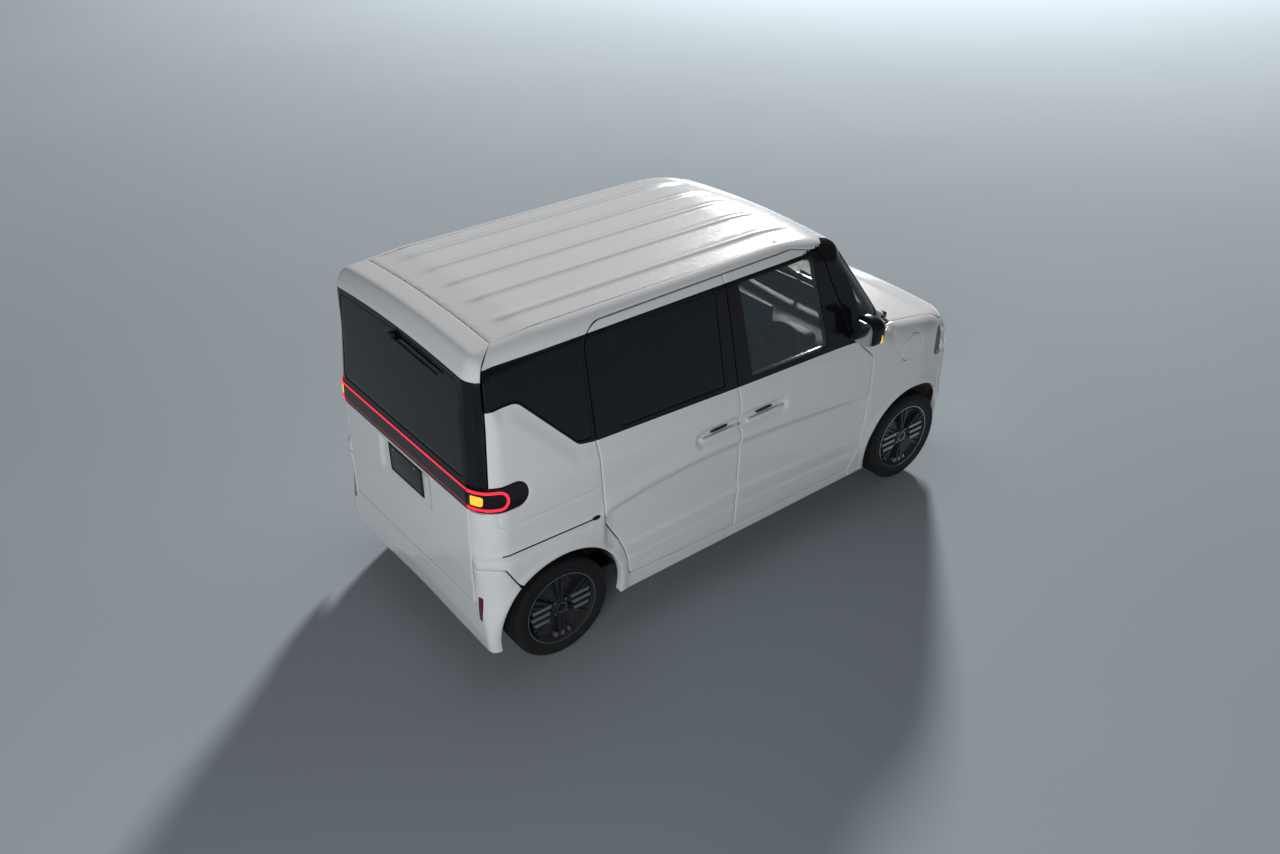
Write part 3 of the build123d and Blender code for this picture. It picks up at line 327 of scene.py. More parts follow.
def locate(kind, line):
    """Skin coordinates (t, q) of points drawn in side view (x, z), end view (|y|, z) or top view (x, |y|)."""
    u, v = line[:, 0], line[:, 1]
    if kind == "drop":
        return np.stack([u, -v], -1)
    if kind == "skin":
        return line.copy()
    q = np.full(len(u), 0.9) if kind == "top" else v.copy()
    t = u.copy() if kind in ("side", "top") else None
    for _ in range(3):
        if kind == "side":
            if (u < REAR_CORE).any() or (u > NOSE_CORE).any():
                tail = search(np.full(len(u), REAR_CORE - ARC - 0.2), np.full(len(u), NOSE_CORE + ARC + 0.2),
                              lambda m: skin_at(m, q)[:, 0] < u)
                t = np.where((u < REAR_CORE) | (u > NOSE_CORE), tail, u)
        elif kind in ("rear", "front"):
            flat = REAR_CORE - ARC - (SIDE_CORE - u) if kind == "rear" else NOSE_CORE + ARC + SIDE_CORE - u
            sign = 1 if kind == "rear" else -1
            ends = (flat * 0 + REAR_T, flat * 0 + REAR_CORE + 0.05) if kind == "rear" else (
                flat * 0 + NOSE_CORE - 0.05, flat * 0 + NOSE_T)
            found = search(*ends, lambda m: (-skin_at(m, q)[:, 1] < u) == (sign > 0))
            t = np.where(u > SIDE_CORE, found, flat)
        core = core_height(np.clip(t, REAR_CORE, NOSE_CORE))
        if kind == "top":
            lift = search(core * 0, core * 0 + UP_MAX, lambda m: -skin_at(t, core + m)[:, 1] > v)
            q = core + lift
            break
        if (v > core).any():
            lift = search(core * 0, core * 0 + UP_MAX, lambda m: skin_at(t, core + m)[:, 2] < v)
            q = np.where(v > core, core + lift, v)
        elif kind == "side" and not ((u < REAR_CORE).any() or (u > NOSE_CORE).any()):
            break
    return np.stack([t, q], -1)


def route(*legs, closed=True, step=0.02):
    """One outline in skin coordinates from legs of (kind, rows), each drawn in its own view."""
    if len(legs) == 1:
        return locate(legs[0][0], rounded(legs[0][1], closed, step))
    out = []
    for kind, rows in legs:
        out.append(locate(kind, rounded(rows, False, step)))
    return np.concatenate(out)


def grow(line, by):
    """A closed line moved outwards by a distance."""
    keep = np.linalg.norm(line - np.roll(line, 1, 0), axis=1) > 1e-5
    line = line[keep]
    ahead, behind = np.roll(line, -1, 0) - line, line - np.roll(line, 1, 0)
    area = np.sum(line[:, 0] * np.roll(line[:, 1], -1) - np.roll(line[:, 0], -1) * line[:, 1])
    unit = [v / np.linalg.norm(v, axis=1, keepdims=True) for v in (ahead, behind)]
    mean = unit[0] + unit[1]
    mean /= np.maximum(np.linalg.norm(mean, axis=1, keepdims=True), 1e-6)
    out = np.stack([mean[:, 1], -mean[:, 0]], -1) * (1 if area > 0 else -1)
    stretch = np.clip(1 / np.maximum(np.abs((mean * unit[0]).sum(1)), 0.5), 1, 2)
    return line + out * (by * stretch)[:, None]


def within(points, line):
    """Which points lie inside a closed line."""
    inside = np.zeros(len(points), bool)
    x, y = points[:, 0], points[:, 1]
    for a, b in zip(line, np.roll(line, -1, 0)):
        if a[1] != b[1]:
            inside ^= ((a[1] > y) != (b[1] > y)) & (x < a[0] + (y - a[1]) * (b[0] - a[0]) / (b[1] - a[1]))
    return inside


def mesh_object(name, verts, faces, materials, indices=None):
    """A mesh piece from its points and faces."""
    mesh = bpy.data.meshes.new(name)
    mesh.from_pydata([tuple(v) for v in verts], [], [tuple(f) for f in faces])
    for material in materials:
        mesh.materials.append(material)
    if indices is not None:
        mesh.polygons.foreach_set("material_index", np.asarray(indices, np.int32))
    mesh.update()
    piece = bpy.data.objects.new(name, mesh)
    bpy.context.scene.collection.objects.link(piece)
    return piece


def settle(piece, angle=SHARP):
    """Applies a piece's modifiers and shades it smooth except at its edges."""
    view = bpy.context.evaluated_depsgraph_get()
    view.update()
    mesh = bpy.data.meshes.new_from_object(piece.evaluated_get(view))
    piece.modifiers.clear()
    old, piece.data = piece.data, mesh
    bpy.data.meshes.remove(old)
    mesh.shade_smooth()
    if angle < math.pi:
        mesh.set_sharp_from_angle(angle=angle)
    return piece


def panel(name, line, materials, *, rays=wrap_rays, holes=(), marks=(), scores=(), grid=0.016, sink=0.0,
          wall=0.045, paint=None, soft=None, edge=0.0024, back=0, whole=False):
    """A pressed panel: its outline filled with a fine net on the skin, edges turned in, given a wall.

    marks are lines kept as edges, for a change of finish; scores are shut lines pressed into the sheet.
    soft tells which points of the outline stay flush, and paint gives a face's finish from its centre.
    A whole panel's outline runs a little past the car's middle, and is cut there and mirrored.
    """
    rings, fixed, links, sunk = [], [], [], []

    def add(points, depth, closed=True):
        first = sum(len(f) for f in fixed)
        fixed.append(points)
        sunk.append(np.full(len(points), depth))
        n = len(points)
        links.extend((first + i, first + (i + 1) % n) for i in range(n if closed else n - 1))

    for k, loop in enumerate((line, *holes)):
        inward = -1 if k == 0 else 1
        loop = grow(loop, 0.0)
        rings.append(loop)
        add(loop, edge)
        if edge:
            add(grow(loop, inward * 0.0011), edge * 0.3)
            add(grow(loop, inward * 0.0032), 0.0)
    for loop in marks:
        add(loop, 0.0, closed=False)
    for loop in scores:
        side = np.gradient(loop, axis=0)
        side = np.stack([side[:, 1], -side[:, 0]], -1) / np.linalg.norm(side, axis=1, keepdims=True)
        for off, depth in ((-0.0032, 0.0), (-0.0013, 0.0012), (0.0, 0.0042), (0.0013, 0.0012), (0.0032, 0.0)):
            add(loop + side * off, depth, closed=False)
    low, high = line.min(0), line.max(0)
    if whole:
        along = 0 if rays is drop_rays else 1
        run = np.arange(low[along] - 0.01, high[along] + grid, grid)
        across = np.full(len(run), 0.0 if rays is drop_rays else REAR_T if low[0] < 0 else NOSE_T)
        add(np.stack([across, run] if along else [run, across], -1), 0.0, closed=False)
    points, depth = np.concatenate(fixed), np.concatenate(sunk)
    us, vs = np.arange(low[0] + grid / 2, high[0], grid), np.arange(low[1] + grid / 2, high[1], grid * 0.87)
    u, v = np.meshgrid(us, vs, indexing="ij")
    u[:, ::2] += grid / 2
    net = np.stack([u.ravel(), v.ravel()], -1)
    net = net[within(net, rings[0])]
    for ring in rings[1:]:
        net = net[~within(net, ring)]
    clear = np.ones(len(net), bool)
    for start in range(0, len(net), 2000):
        part = net[start:start + 2000]
        clear[start:start + 2000] = ((part[:, None] - points[None]) ** 2).sum(-1).min(1) > (0.5 * grid) ** 2
    net = net[clear]
    everything = np.concatenate([points, net])
    verts, _, faces, origin, _, _ = delaunay_2d_cdt([Vector(p) for p in everything], links, [], 0, 1e-6, True)
    flat = np.array([tuple(v) for v in verts])
    faces = np.array([f for f in faces if len(f) == 3])
    middle = flat[faces].mean(1)
    keep = within(middle, rings[0])
    for ring in rings[1:]:
        keep &= ~within(middle, ring)
    if whole:
        keep &= rays(middle[:, 0], middle[:, 1])[0][:, 1] < 0
    faces = faces[keep]
    full_depth = np.concatenate([depth, np.zeros(len(net))])
    sink_by = np.array([max((full_depth[o] for o in part), default=0.0) for part in origin])
    ends = np.array(links)
    start, run = points[ends[:, 0]], points[ends[:, 1]] - points[ends[:, 0]]
    for k in (k for k, part in enumerate(origin) if not part):
        along = np.clip(((flat[k] - start) * run).sum(1) / np.maximum((run ** 2).sum(1), 1e-12), 0, 1)
        on = np.linalg.norm(flat[k] - start - run * along[:, None], axis=1) < 2e-5
        if on.any():
            sink_by[k] = (depth[ends[:, 0]] * (1 - along) + depth[ends[:, 1]] * along)[on].max()
    place = land(rays, flat[:, 0], flat[:, 1])
    normal, plain = facing(place), facing(place, False)
    if soft is not None:
        sink_by = np.where(soft(place), 0.0, sink_by)
    inner = place - plain * (sink + wall)
    place = place - normal * (sink_by + sink)[:, None]
    tri = place[faces]
    out = np.cross(tri[:, 1] - tri[:, 0], tri[:, 2] - tri[:, 0])
    wrong = (out * normal[faces].mean(1)).sum(1) < 0
    faces[wrong] = faces[wrong][:, ::-1]
    used = np.unique(faces)
    renumber = np.zeros(len(place), int)
    renumber[used] = np.arange(len(used))
    place, inner, faces = place[used], inner[used], renumber[faces]
    if whole:
        shared = np.abs(place[:, 1]) < ON_MIDDLE
        place[shared, 1] = inner[shared, 1] = 0.0
        other = np.where(shared, np.arange(len(place)), len(place) + np.cumsum(~shared) - 1)
        place, inner = (np.concatenate([p, p[~shared] * [1, -1, 1]]) for p in (place, inner))
        faces = np.concatenate([faces, other[faces][:, ::-1]])
    indices = paint(place[faces].mean(1)) if paint else np.zeros(len(faces), int)
    if wall:
        pairs = np.concatenate([faces[:, [0, 1]], faces[:, [1, 2]], faces[:, [2, 0]]])
        owner = np.tile(np.arange(len(faces)), 3)
        key, back_key = pairs @ [len(place), 1], pairs[:, ::-1] @ [len(place), 1]
        rim = ~np.isin(key, back_key)
        a, b = pairs[rim].T
        n = len(place)
        quads = np.stack([b, a, a + n, b + n], -1)
        indices = np.concatenate([indices, indices + back, indices[owner[rim]]])
        place = np.concatenate([place, inner])
        faces = [*faces, *(faces[:, ::-1] + n), *quads]
    piece = mesh_object(name, place, faces, materials, indices)
    piece.data.shade_smooth()
    piece.data.set_sharp_from_angle(angle=SHARP)
    return piece


def copied(piece, name):
    """A copy of a piece, with a mesh of its own."""
    copy = piece.copy()
    copy.data = piece.data.copy()
    copy.name = copy.data.name = name
    bpy.context.scene.collection.objects.link(copy)
    return copy


def flipped(piece):
    """Mirrors a piece's mesh across the car, with its faces still outwards."""
    bm = bmesh.new()
    bm.from_mesh(piece.data)
    for v in bm.verts:
        v.co.y = -v.co.y
    bmesh.ops.reverse_faces(bm, faces=bm.faces)
    bm.to_mesh(piece.data)
    bm.free()
    return piece


def twin(piece, name):
    """The left-hand copy of a right-hand piece."""
    return flipped(copied(piece, name))


def join(name, pieces, weld=0.0):
    """One piece from several, with doubles merged where weld is set."""
    bm = bmesh.new()
    materials = []
    for piece in pieces:
        for material in piece.data.materials:
            if material not in materials:
                materials.append(material)
    for piece in pieces:
        first = len(bm.faces)
        bm.from_mesh(piece.data)
        bm.faces.ensure_lookup_table()
        slots = [materials.index(m) for m in piece.data.materials]
        for face in bm.faces[first:]:
            face.material_index = slots[min(face.material_index, len(slots) - 1)] if slots else 0
    if weld:
        middle = [v for v in bm.verts if abs(v.co.y) < ON_MIDDLE]
        bmesh.ops.remove_doubles(bm, verts=middle, dist=weld)
    for piece in pieces:
        bpy.data.objects.remove(piece)
    made = mesh_object(name, [], [], materials)
    bm.to_mesh(made.data)
    bm.free()
    made.data.update()
    return made


def both(piece, name):
    """One piece of a right-hand shape and its left-hand copy."""
    return join(name, [piece, twin(piece, name + "_twin")], weld=3e-4)


def fit(piece, rides, *replaced, slot=None):
    """Hangs a piece on its body and lets it stand for frame nodes."""
    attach(piece, rides)
    if replaced:
        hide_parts(*replaced)
    return piece


# ---------------------------------------------------------------- finishes
def group(name, inputs, outputs):
    """An empty shader group with named sockets; gives the group, its nodes' maker, and its two ends."""
    tree = bpy.data.node_groups.new(name, "ShaderNodeTree")
    for label, kind, value in inputs:
        socket = tree.interface.new_socket(label, in_out="INPUT", socket_type=kind)
        if value is not None:
            socket.default_value = value
    for label, kind in outputs:
        tree.interface.new_socket(label, in_out="OUTPUT", socket_type=kind)
    return tree, wiring(tree), tree.nodes.new("NodeGroupInput"), tree.nodes.new("NodeGroupOutput")


def wiring(tree):
    """A maker of nodes: settings by name, links or values by input."""
    def add(kind, settings=None, **inputs):
        node = tree.nodes.new(kind)
        for key, value in (settings or {}).items():
            setattr(node, key, value)
        for key, value in inputs.items():
            by_number = key[0] == "i" and key[1:].isdigit()
            socket = node.inputs[int(key[1:]) if by_number else key.replace("_", " ")]
            if isinstance(value, bpy.types.NodeSocket):
                tree.links.new(value, socket)
            else:
                socket.default_value = value
        return node
    return add


def drawn_tone():
    """Tone that drifts over a surface, with road dust that gathers low down."""
    tree, add, start, end = group("drifting tone and road dust",
                                  [("Colour", "NodeSocketColor", (0.5, 0.5, 0.5, 1)),
                                   ("Dust Colour", "NodeSocketColor", (0.30, 0.28, 0.25, 1)),
                                   ("Drift", "NodeSocketFloat", 0.05), ("Scale", "NodeSocketFloat", 3.0),
                                   ("Dust", "NodeSocketFloat", 0.1), ("Dust Height", "NodeSocketFloat", 0.45),
                                   ("Smooth", "NodeSocketFloat", 0.3), ("Rough", "NodeSocketFloat", 0.5)],
                                  [("Colour", "NodeSocketColor"), ("Roughness", "NodeSocketFloat")])
    place = add("ShaderNodeTexCoord").outputs["Object"]
    cloud = add("ShaderNodeTexNoise", Vector=place, Scale=start.outputs["Scale"], Detail=4.0).outputs["Fac"]
    fine = add("ShaderNodeTexNoise", Vector=place, Scale=38.0, Detail=5.0, Roughness=0.7).outputs["Fac"]
    centred = add("ShaderNodeMath", {"operation": "SUBTRACT"}, i0=cloud, i1=0.5).outputs[0]
    gain = add("ShaderNodeMath", {"operation": "MULTIPLY_ADD"}, i0=centred, i1=start.outputs["Drift"],
               i2=1.0).outputs[0]
    tone = add("ShaderNodeVectorMath", {"operation": "SCALE"}, i0=start.outputs["Colour"],
               Scale=gain).outputs[0]
    height = add("ShaderNodeSeparateXYZ", Vector=place).outputs["Z"]
    low = add("ShaderNodeMapRange", Value=height, From_Min=start.outputs["Dust Height"], From_Max=0.0,
              To_Min=0.12, To_Max=1.0).outputs[0]
    patchy = add("ShaderNodeMapRange", Value=fine, From_Min=0.35, From_Max=0.7, To_Min=0.2,
                 To_Max=1.0).outputs[0]
    dust = add("ShaderNodeMath", {"operation": "MULTIPLY"}, i0=low, i1=patchy).outputs[0]
    dust = add("ShaderNodeMath", {"operation": "MULTIPLY", "use_clamp": True}, i0=dust,
               i1=start.outputs["Dust"]).outputs[0]
    mixed = add("ShaderNodeMix", {"data_type": "RGBA"}, i0=dust, i6=tone,
                i7=start.outputs["Dust Colour"]).outputs[2]
    shine = add("ShaderNodeMapRange", Value=fine, From_Min=0.3, From_Max=0.7, To_Min=start.outputs["Smooth"],
                To_Max=start.outputs["Rough"]).outputs[0]
    dull = add("ShaderNodeMix", {"data_type": "FLOAT"}, i0=dust, i2=shine, i3=0.85).outputs[0]
    tree.links.new(mixed, end.inputs["Colour"])
    tree.links.new(dull, end.inputs["Roughness"])
    return tree


def drawn_grain():
    """Pebbled or cast grain, as a normal."""
    tree, add, start, end = group("moulded grain",
                                  [("Scale", "NodeSocketFloat", 900.0), ("Depth", "NodeSocketFloat", 0.0002),
                                   ("Strength", "NodeSocketFloat", 0.4)], [("Normal", "NodeSocketVector")])
    place = add("ShaderNodeTexCoord").outputs["Object"]
    cells = add("ShaderNodeTexVoronoi", {"feature": "SMOOTH_F1"}, Vector=place,
                Scale=start.outputs["Scale"]).outputs[0]
    lumps = add("ShaderNodeTexNoise", Vector=place, Scale=start.outputs["Scale"], Detail=3.0).outputs["Fac"]
    both_ = add("ShaderNodeMath", {"operation": "ADD"}, i0=cells, i1=lumps).outputs[0]
    rise = add("ShaderNodeBump", Strength=start.outputs["Strength"], Distance=start.outputs["Depth"],
               Height=both_)
    tree.links.new(rise.outputs[0], end.inputs["Normal"])
    return tree


def drawn_weave():
    """Crossing threads: a colour of light and dark yarn, and a normal."""
    tree, add, start, end = group("woven cloth", [("Light Yarn", "NodeSocketColor", (0.2, 0.2, 0.2, 1)),
                                                  ("Dark Yarn", "NodeSocketColor", (0.05, 0.05, 0.05, 1)),
                                                  ("Threads", "NodeSocketFloat", 320.0),
                                                  ("Depth", "NodeSocketFloat", 0.0004)],
                                  [("Colour", "NodeSocketColor"), ("Normal", "NodeSocketVector")])
    place = add("ShaderNodeTexCoord").outputs["Object"]
    waves = []
    for way in ("X", "Y", "Z"):
        waves.append(add("ShaderNodeTexWave", {"bands_direction": way}, Vector=place,
                         Scale=start.outputs["Threads"], Distortion=0.6, Detail=1.0).outputs["Fac"])
    cross = add("ShaderNodeMath", {"operation": "MULTIPLY"}, i0=waves[0], i1=waves[1]).outputs[0]
    cross = add("ShaderNodeMath", {"operation": "ADD"}, i0=cross, i1=waves[2]).outputs[0]
    fleck = add("ShaderNodeTexNoise", Vector=place, Scale=260.0, Detail=2.0).outputs["Fac"]
    share = add("ShaderNodeMath", {"operation": "MULTIPLY", "use_clamp": True}, i0=cross, i1=fleck).outputs[0]
    mixed = add("ShaderNodeMix", {"data_type": "RGBA"}, i0=share, i6=start.outputs["Dark Yarn"],
                i7=start.outputs["Light Yarn"]).outputs[2]
    rise = add("ShaderNodeBump", Strength=0.6, Distance=start.outputs["Depth"], Height=cross)
    tree.links.new(mixed, end.inputs["Colour"])
    tree.links.new(rise.outputs[0], end.inputs["Normal"])
    return tree


TONE, GRAIN, WEAVE = drawn_tone(), drawn_grain(), drawn_weave()


def blank_material(name):
    """A material with an empty tree; gives it, its nodes' maker, and its shader."""
    material = bpy.data.materials.new(name)
    material.use_nodes = True
    material.node_tree.nodes.clear()
    add = wiring(material.node_tree)
    return material, add, add("ShaderNodeBsdfPrincipled")


def coated(material, add, shader, tone, surface):
    """Joins a material's tone to its shader, and sets the surface's plain numbers."""
    links = material.node_tree.links
    links.new(tone.outputs["Colour"], shader.inputs["Base Color"])
    links.new(tone.outputs["Roughness"], shader.inputs["Roughness"])
    for key, value in surface.items():
        shader.inputs[key.replace("_", " ")].default_value = value
    links.new(shader.outputs[0], add("ShaderNodeOutputMaterial").inputs["Surface"])
    return material


def finish(name, colour, *, drift=0.06, scale=3.0, dust=0.0, low=0.45, smooth_=0.3, rough=0.5, grain=None,
           weave=None, **surface):
    """A material: its tone and dust, its grain or weave, and the surface's own plain numbers."""
    material, add, shader = blank_material(name)
    links = material.node_tree.links
    base = (*colour, 1)
    if weave:
        cloth = add("ShaderNodeGroup", {"node_tree": WEAVE}, Light_Yarn=(*weave[0], 1), Dark_Yarn=base,
                    Threads=weave[1], Depth=weave[2])
        base = cloth.outputs["Colour"]
        links.new(cloth.outputs["Normal"], shader.inputs["Normal"])
    tone = add("ShaderNodeGroup", {"node_tree": TONE}, Colour=base, Drift=drift, Scale=scale, Dust=dust,
               Dust_Height=low, Smooth=smooth_, Rough=rough)
    if grain:
        pebbles = add("ShaderNodeGroup", {"node_tree": GRAIN}, Scale=grain[0], Depth=grain[1],
                      Strength=grain[2])
        links.new(pebbles.outputs["Normal"], shader.inputs["Normal"])
    return coated(material, add, shader, tone, surface)


PAINT = finish("pearl white paint", (0.79, 0.80, 0.81), drift=0.03, scale=1.3, dust=0.10, low=0.5,
               smooth_=0.16, rough=0.22, grain=(1400.0, 0.00004, 0.10), Coat_Weight=0.6, Coat_Roughness=0.06,
               Specular_IOR_Level=0.5)
BLACK = finish("gloss black panel", (0.007, 0.008, 0.010), drift=0.3, dust=0.01, smooth_=0.07, rough=0.12,
               Specular_IOR_Level=0.30)
TRIM = finish("grained black plastic", (0.022, 0.023, 0.025), drift=0.25, dust=0.12, smooth_=0.42, rough=0.58,
              grain=(700.0, 0.0002, 0.5))
SEAL = finish("rubber seal", (0.012, 0.012, 0.013), drift=0.2, dust=0.05, smooth_=0.5, rough=0.7,
              grain=(500.0, 0.0002, 0.3))
PRIVACY = finish("dark privacy glass", (0.005, 0.007, 0.010), drift=0.3, dust=0.01, smooth_=0.03, rough=0.06,
                 Specular_IOR_Level=0.34)
TYRE = finish("tyre rubber", (0.011, 0.011, 0.012), drift=0.35, scale=7.0, dust=0.06, low=0.6, smooth_=0.55,
              rough=0.75, grain=(600.0, 0.0003, 0.5), Specular_IOR_Level=0.35)
DARK_WHEEL = finish("dark lacquered wheel", (0.030, 0.032, 0.036), drift=0.2, dust=0.10, smooth_=0.25,
                    rough=0.38, Metallic=0.55, Coat_Weight=0.5, Coat_Roughness=0.12)
BRIGHT_WHEEL = finish("machined silver face", (0.42, 0.44, 0.50), drift=0.12, dust=0.08, smooth_=0.26,
                      rough=0.40, Metallic=0.85, grain=(900.0, 0.0001, 0.2))
CHROME = finish("polished ring", (0.62, 0.64, 0.66), drift=0.05, smooth_=0.08, rough=0.16, Metallic=1.0)
STEEL = finish("coated chassis steel", (0.035, 0.036, 0.038), drift=0.4, scale=6.0, dust=0.4, low=0.8,
               smooth_=0.45, rough=0.65, grain=(260.0, 0.0004, 0.4), Metallic=0.2)
IRON = finish("cast iron", (0.11, 0.105, 0.10), drift=0.5, scale=14.0, dust=0.3, low=0.6, smooth_=0.5,
              rough=0.75, grain=(320.0, 0.0008, 0.6), Metallic=0.6)
CASTING = finish("cast alloy housing", (0.34, 0.35, 0.36), drift=0.25, scale=9.0, dust=0.3, low=0.7,
                 smooth_=0.4, rough=0.6, grain=(420.0, 0.0006, 0.5), Metallic=0.8)
TRAY = finish("battery tray", (0.16, 0.17, 0.18), drift=0.25, scale=5.0, dust=0.4, low=0.5, smooth_=0.4,
              rough=0.6, grain=(300.0, 0.0004, 0.4), Metallic=0.6)
UNDERSEAL = finish("stone-chip underseal", (0.026, 0.027, 0.029), drift=0.4, scale=8.0, dust=0.35, low=0.9,
                   smooth_=0.7, rough=0.9, grain=(180.0, 0.0010, 0.6))
CABIN = finish("cabin plastic", (0.045, 0.048, 0.053), drift=0.15, smooth_=0.45, rough=0.6,
               grain=(650.0, 0.0002, 0.4))
LINING = finish("grey headlining", (0.17, 0.17, 0.17), drift=0.10, smooth_=0.8, rough=0.95,
                grain=(900.0, 0.0004, 0.5))
CLOTH = finish("seat cloth", (0.045, 0.050, 0.056), drift=0.25, scale=12.0, smooth_=0.75, rough=0.95,
               weave=((0.17, 0.18, 0.19), 210.0, 0.0006), Sheen_Weight=0.3, Sheen_Roughness=0.4)
CARPET = finish("cabin carpet", (0.020, 0.021, 0.023), drift=0.4, scale=20.0, smooth_=0.9, rough=1.0,
                grain=(420.0, 0.0015, 0.9))
RED_GLOW = finish("lit red line", (0.60, 0.01, 0.02), drift=0.1, smooth_=0.2, rough=0.3,
                  Emission_Color=(1.0, 0.03, 0.06, 1), Emission_Strength=1.25)
RED_FAINT = finish("faint red line", (0.30, 0.006, 0.012), drift=0.3, scale=20.0, smooth_=0.2, rough=0.3,
                   Emission_Color=(0.9, 0.02, 0.04, 1), Emission_Strength=0.30)
REFLECTOR = finish("prismatic reflector", (0.13, 0.005, 0.012), drift=0.5, scale=60.0, smooth_=0.1, rough=0.2,
                   grain=(420.0, 0.0008, 0.8), Coat_Weight=1.0)
AMBER_GLOW = finish("lit amber block", (0.9, 0.40, 0.03), drift=0.1, smooth_=0.2, rough=0.3,
                    Emission_Color=(1.0, 0.50, 0.04, 1), Emission_Strength=0.9)
SMOKED = finish("smoked lamp cover", (0.010, 0.008, 0.010), drift=0.3, smooth_=0.05, rough=0.09,
                Specular_IOR_Level=0.35)
WHITE_GLOW = finish("daylight lamp ring", (0.85, 0.87, 0.9), drift=0.03, smooth_=0.15, rough=0.25,
                    Emission_Color=(0.9, 0.95, 1, 1), Emission_Strength=0.35)
SCREEN = finish("cabin screen", (0.010, 0.018, 0.028), drift=1.2, scale=9.0, smooth_=0.08, rough=0.12,
                Emission_Color=(0.05, 0.20, 0.45, 1), Emission_Strength=0.03)
PLATE = finish("blank dark plate", (0.006, 0.006, 0.007), drift=0.2, dust=0.02, smooth_=0.25, rough=0.38,
               grain=(900.0, 0.0001, 0.2))


def clear_glass(name, tint, see):
    """Thin glass that lets most light straight through, with its own shine and a little dust."""
    material, add, shader = blank_material(name)
    tone = add("ShaderNodeGroup", {"node_tree": TONE}, Colour=(*tint, 1), Drift=0.1, Dust=0.05, Smooth=0.02,
               Rough=0.05)
    return coated(material, add, shader, tone, {"IOR": 1.45, "Alpha": 1 - see, "Coat_Weight": 1.0,
                                                "Coat_Roughness": 0.02})


GLASS = clear_glass("clear window glass", (0.055, 0.075, 0.085), 0.66)
LENS = clear_glass("clear lamp lens", (0.25, 0.27, 0.28), 0.80)


# ---------------------------------------------------------------- repeats and beads, grown by node trees
def growing(name, inputs):
    """A geometry tree with named inputs; gives the tree, its nodes' maker, and the input node."""
    tree = bpy.data.node_groups.new(name, "GeometryNodeTree")
    for label, kind in (("Geometry", "NodeSocketGeometry"), *inputs, ("Material", "NodeSocketMaterial")):
        tree.interface.new_socket(label, in_out="INPUT", socket_type=kind)
    tree.interface.new_socket("Geometry", in_out="OUTPUT", socket_type="NodeSocketGeometry")
    return tree, wiring(tree), tree.nodes.new("NodeGroupInput")


def grown(tree, add, start, shape):
    """Ends a geometry tree: its copies made real and given their material."""
    solid = add("GeometryNodeRealizeInstances", Geometry=shape).outputs[0]
    dressed = add("GeometryNodeSetMaterial", Geometry=solid, Material=start.outputs["Material"]).outputs[0]
    tree.links.new(dressed, tree.nodes.new("NodeGroupOutput").inputs[0])
    return tree


def round_the_axle():
    """Sets a copy of a shape at even steps round the wheel's axle."""
    tree, add, start = growing("set round an axle",
                               [("Count", "NodeSocketInt"), ("Start Angle", "NodeSocketFloat")])
    count = start.outputs["Count"]
    step = add("ShaderNodeMath", {"operation": "DIVIDE"}, i0=2 * math.pi, i1=count).outputs[0]
    index = add("GeometryNodeInputIndex").outputs[0]
    angle = add("ShaderNodeMath", {"operation": "MULTIPLY_ADD"}, i0=index, i1=step,
                i2=start.outputs["Start Angle"]).outputs[0]
    turn = add("ShaderNodeCombineXYZ", Y=angle).outputs[0]
    posts = add("GeometryNodePoints", Count=count).outputs[0]
    placed = add("GeometryNodeInstanceOnPoints", Points=posts, Instance=start.outputs["Geometry"],
                 Rotation=turn)
    return grown(tree, add, start, placed.outputs[0])


def bead_on_a_line():
    """A round bead that follows a line of edges."""
    tree, add, start = growing("bead along a line",
                               [("Radius", "NodeSocketFloat"), ("Sides", "NodeSocketInt")])
    line = add("GeometryNodeMeshToCurve", i0=start.outputs["Geometry"]).outputs[0]
    ring = add("GeometryNodeCurvePrimitiveCircle", Resolution=start.outputs["Sides"],
               Radius=start.outputs["Radius"])
    swept = add("GeometryNodeCurveToMesh", i0=line)
    tree.links.new(ring.outputs[0], swept.inputs["Profile Curve"])
    swept.inputs["Fill Caps"].default_value = True
    shaded = add("GeometryNodeSetShadeSmooth", i0=swept.outputs[0]).outputs[0]
    return grown(tree, add, start, shaded)


def rows_of_slats():
    """Even copies of a slat, one above the other."""
    tree, add, start = growing("slats in a row", [("Count", "NodeSocketInt"), ("Pitch", "NodeSocketVector")])
    line = add("GeometryNodeMeshLine", Count=start.outputs["Count"], Offset=start.outputs["Pitch"]).outputs[0]
    placed = add("GeometryNodeInstanceOnPoints", Points=line, Instance=start.outputs["Geometry"]).outputs[0]
    return grown(tree, add, start, placed)


AROUND, BEAD, SLATS = round_the_axle(), bead_on_a_line(), rows_of_slats()


def grown_by(tree, piece, **inputs):
    """Runs a node tree on a piece with its named inputs, and keeps the mesh it makes."""
    modifier = piece.modifiers.new("grow", "NODES")
    modifier.node_group = tree
    for item in tree.interface.items_tree:
        key = item.name.replace(" ", "_")
        if item.item_type == "SOCKET" and item.in_out == "INPUT" and key in inputs:
            modifier[item.identifier] = inputs[key]
    piece.update_tag()
    return settle(piece)


def bead(name, points, radius, material, closed=False, sides=10):
    """A bead of a given radius along points."""
    n = len(points)
    mesh = bpy.data.meshes.new(name)
    mesh.from_pydata([tuple(p) for p in points], [(i, (i + 1) % n) for i in range(n if closed else n - 1)],
                     [])
    piece = bpy.data.objects.new(name, mesh)
    bpy.context.scene.collection.objects.link(piece)
    return grown_by(BEAD, piece, Radius=radius, Sides=sides, Material=material)


def skin_line(legs, out=0.0, rays=wrap_rays, closed=False, step=0.012):
    """Points along the skin, stood off by a distance."""
    line = route(*legs, closed=closed, step=step)
    place = land(rays, line[:, 0], line[:, 1])
    return place + facing(place) * out


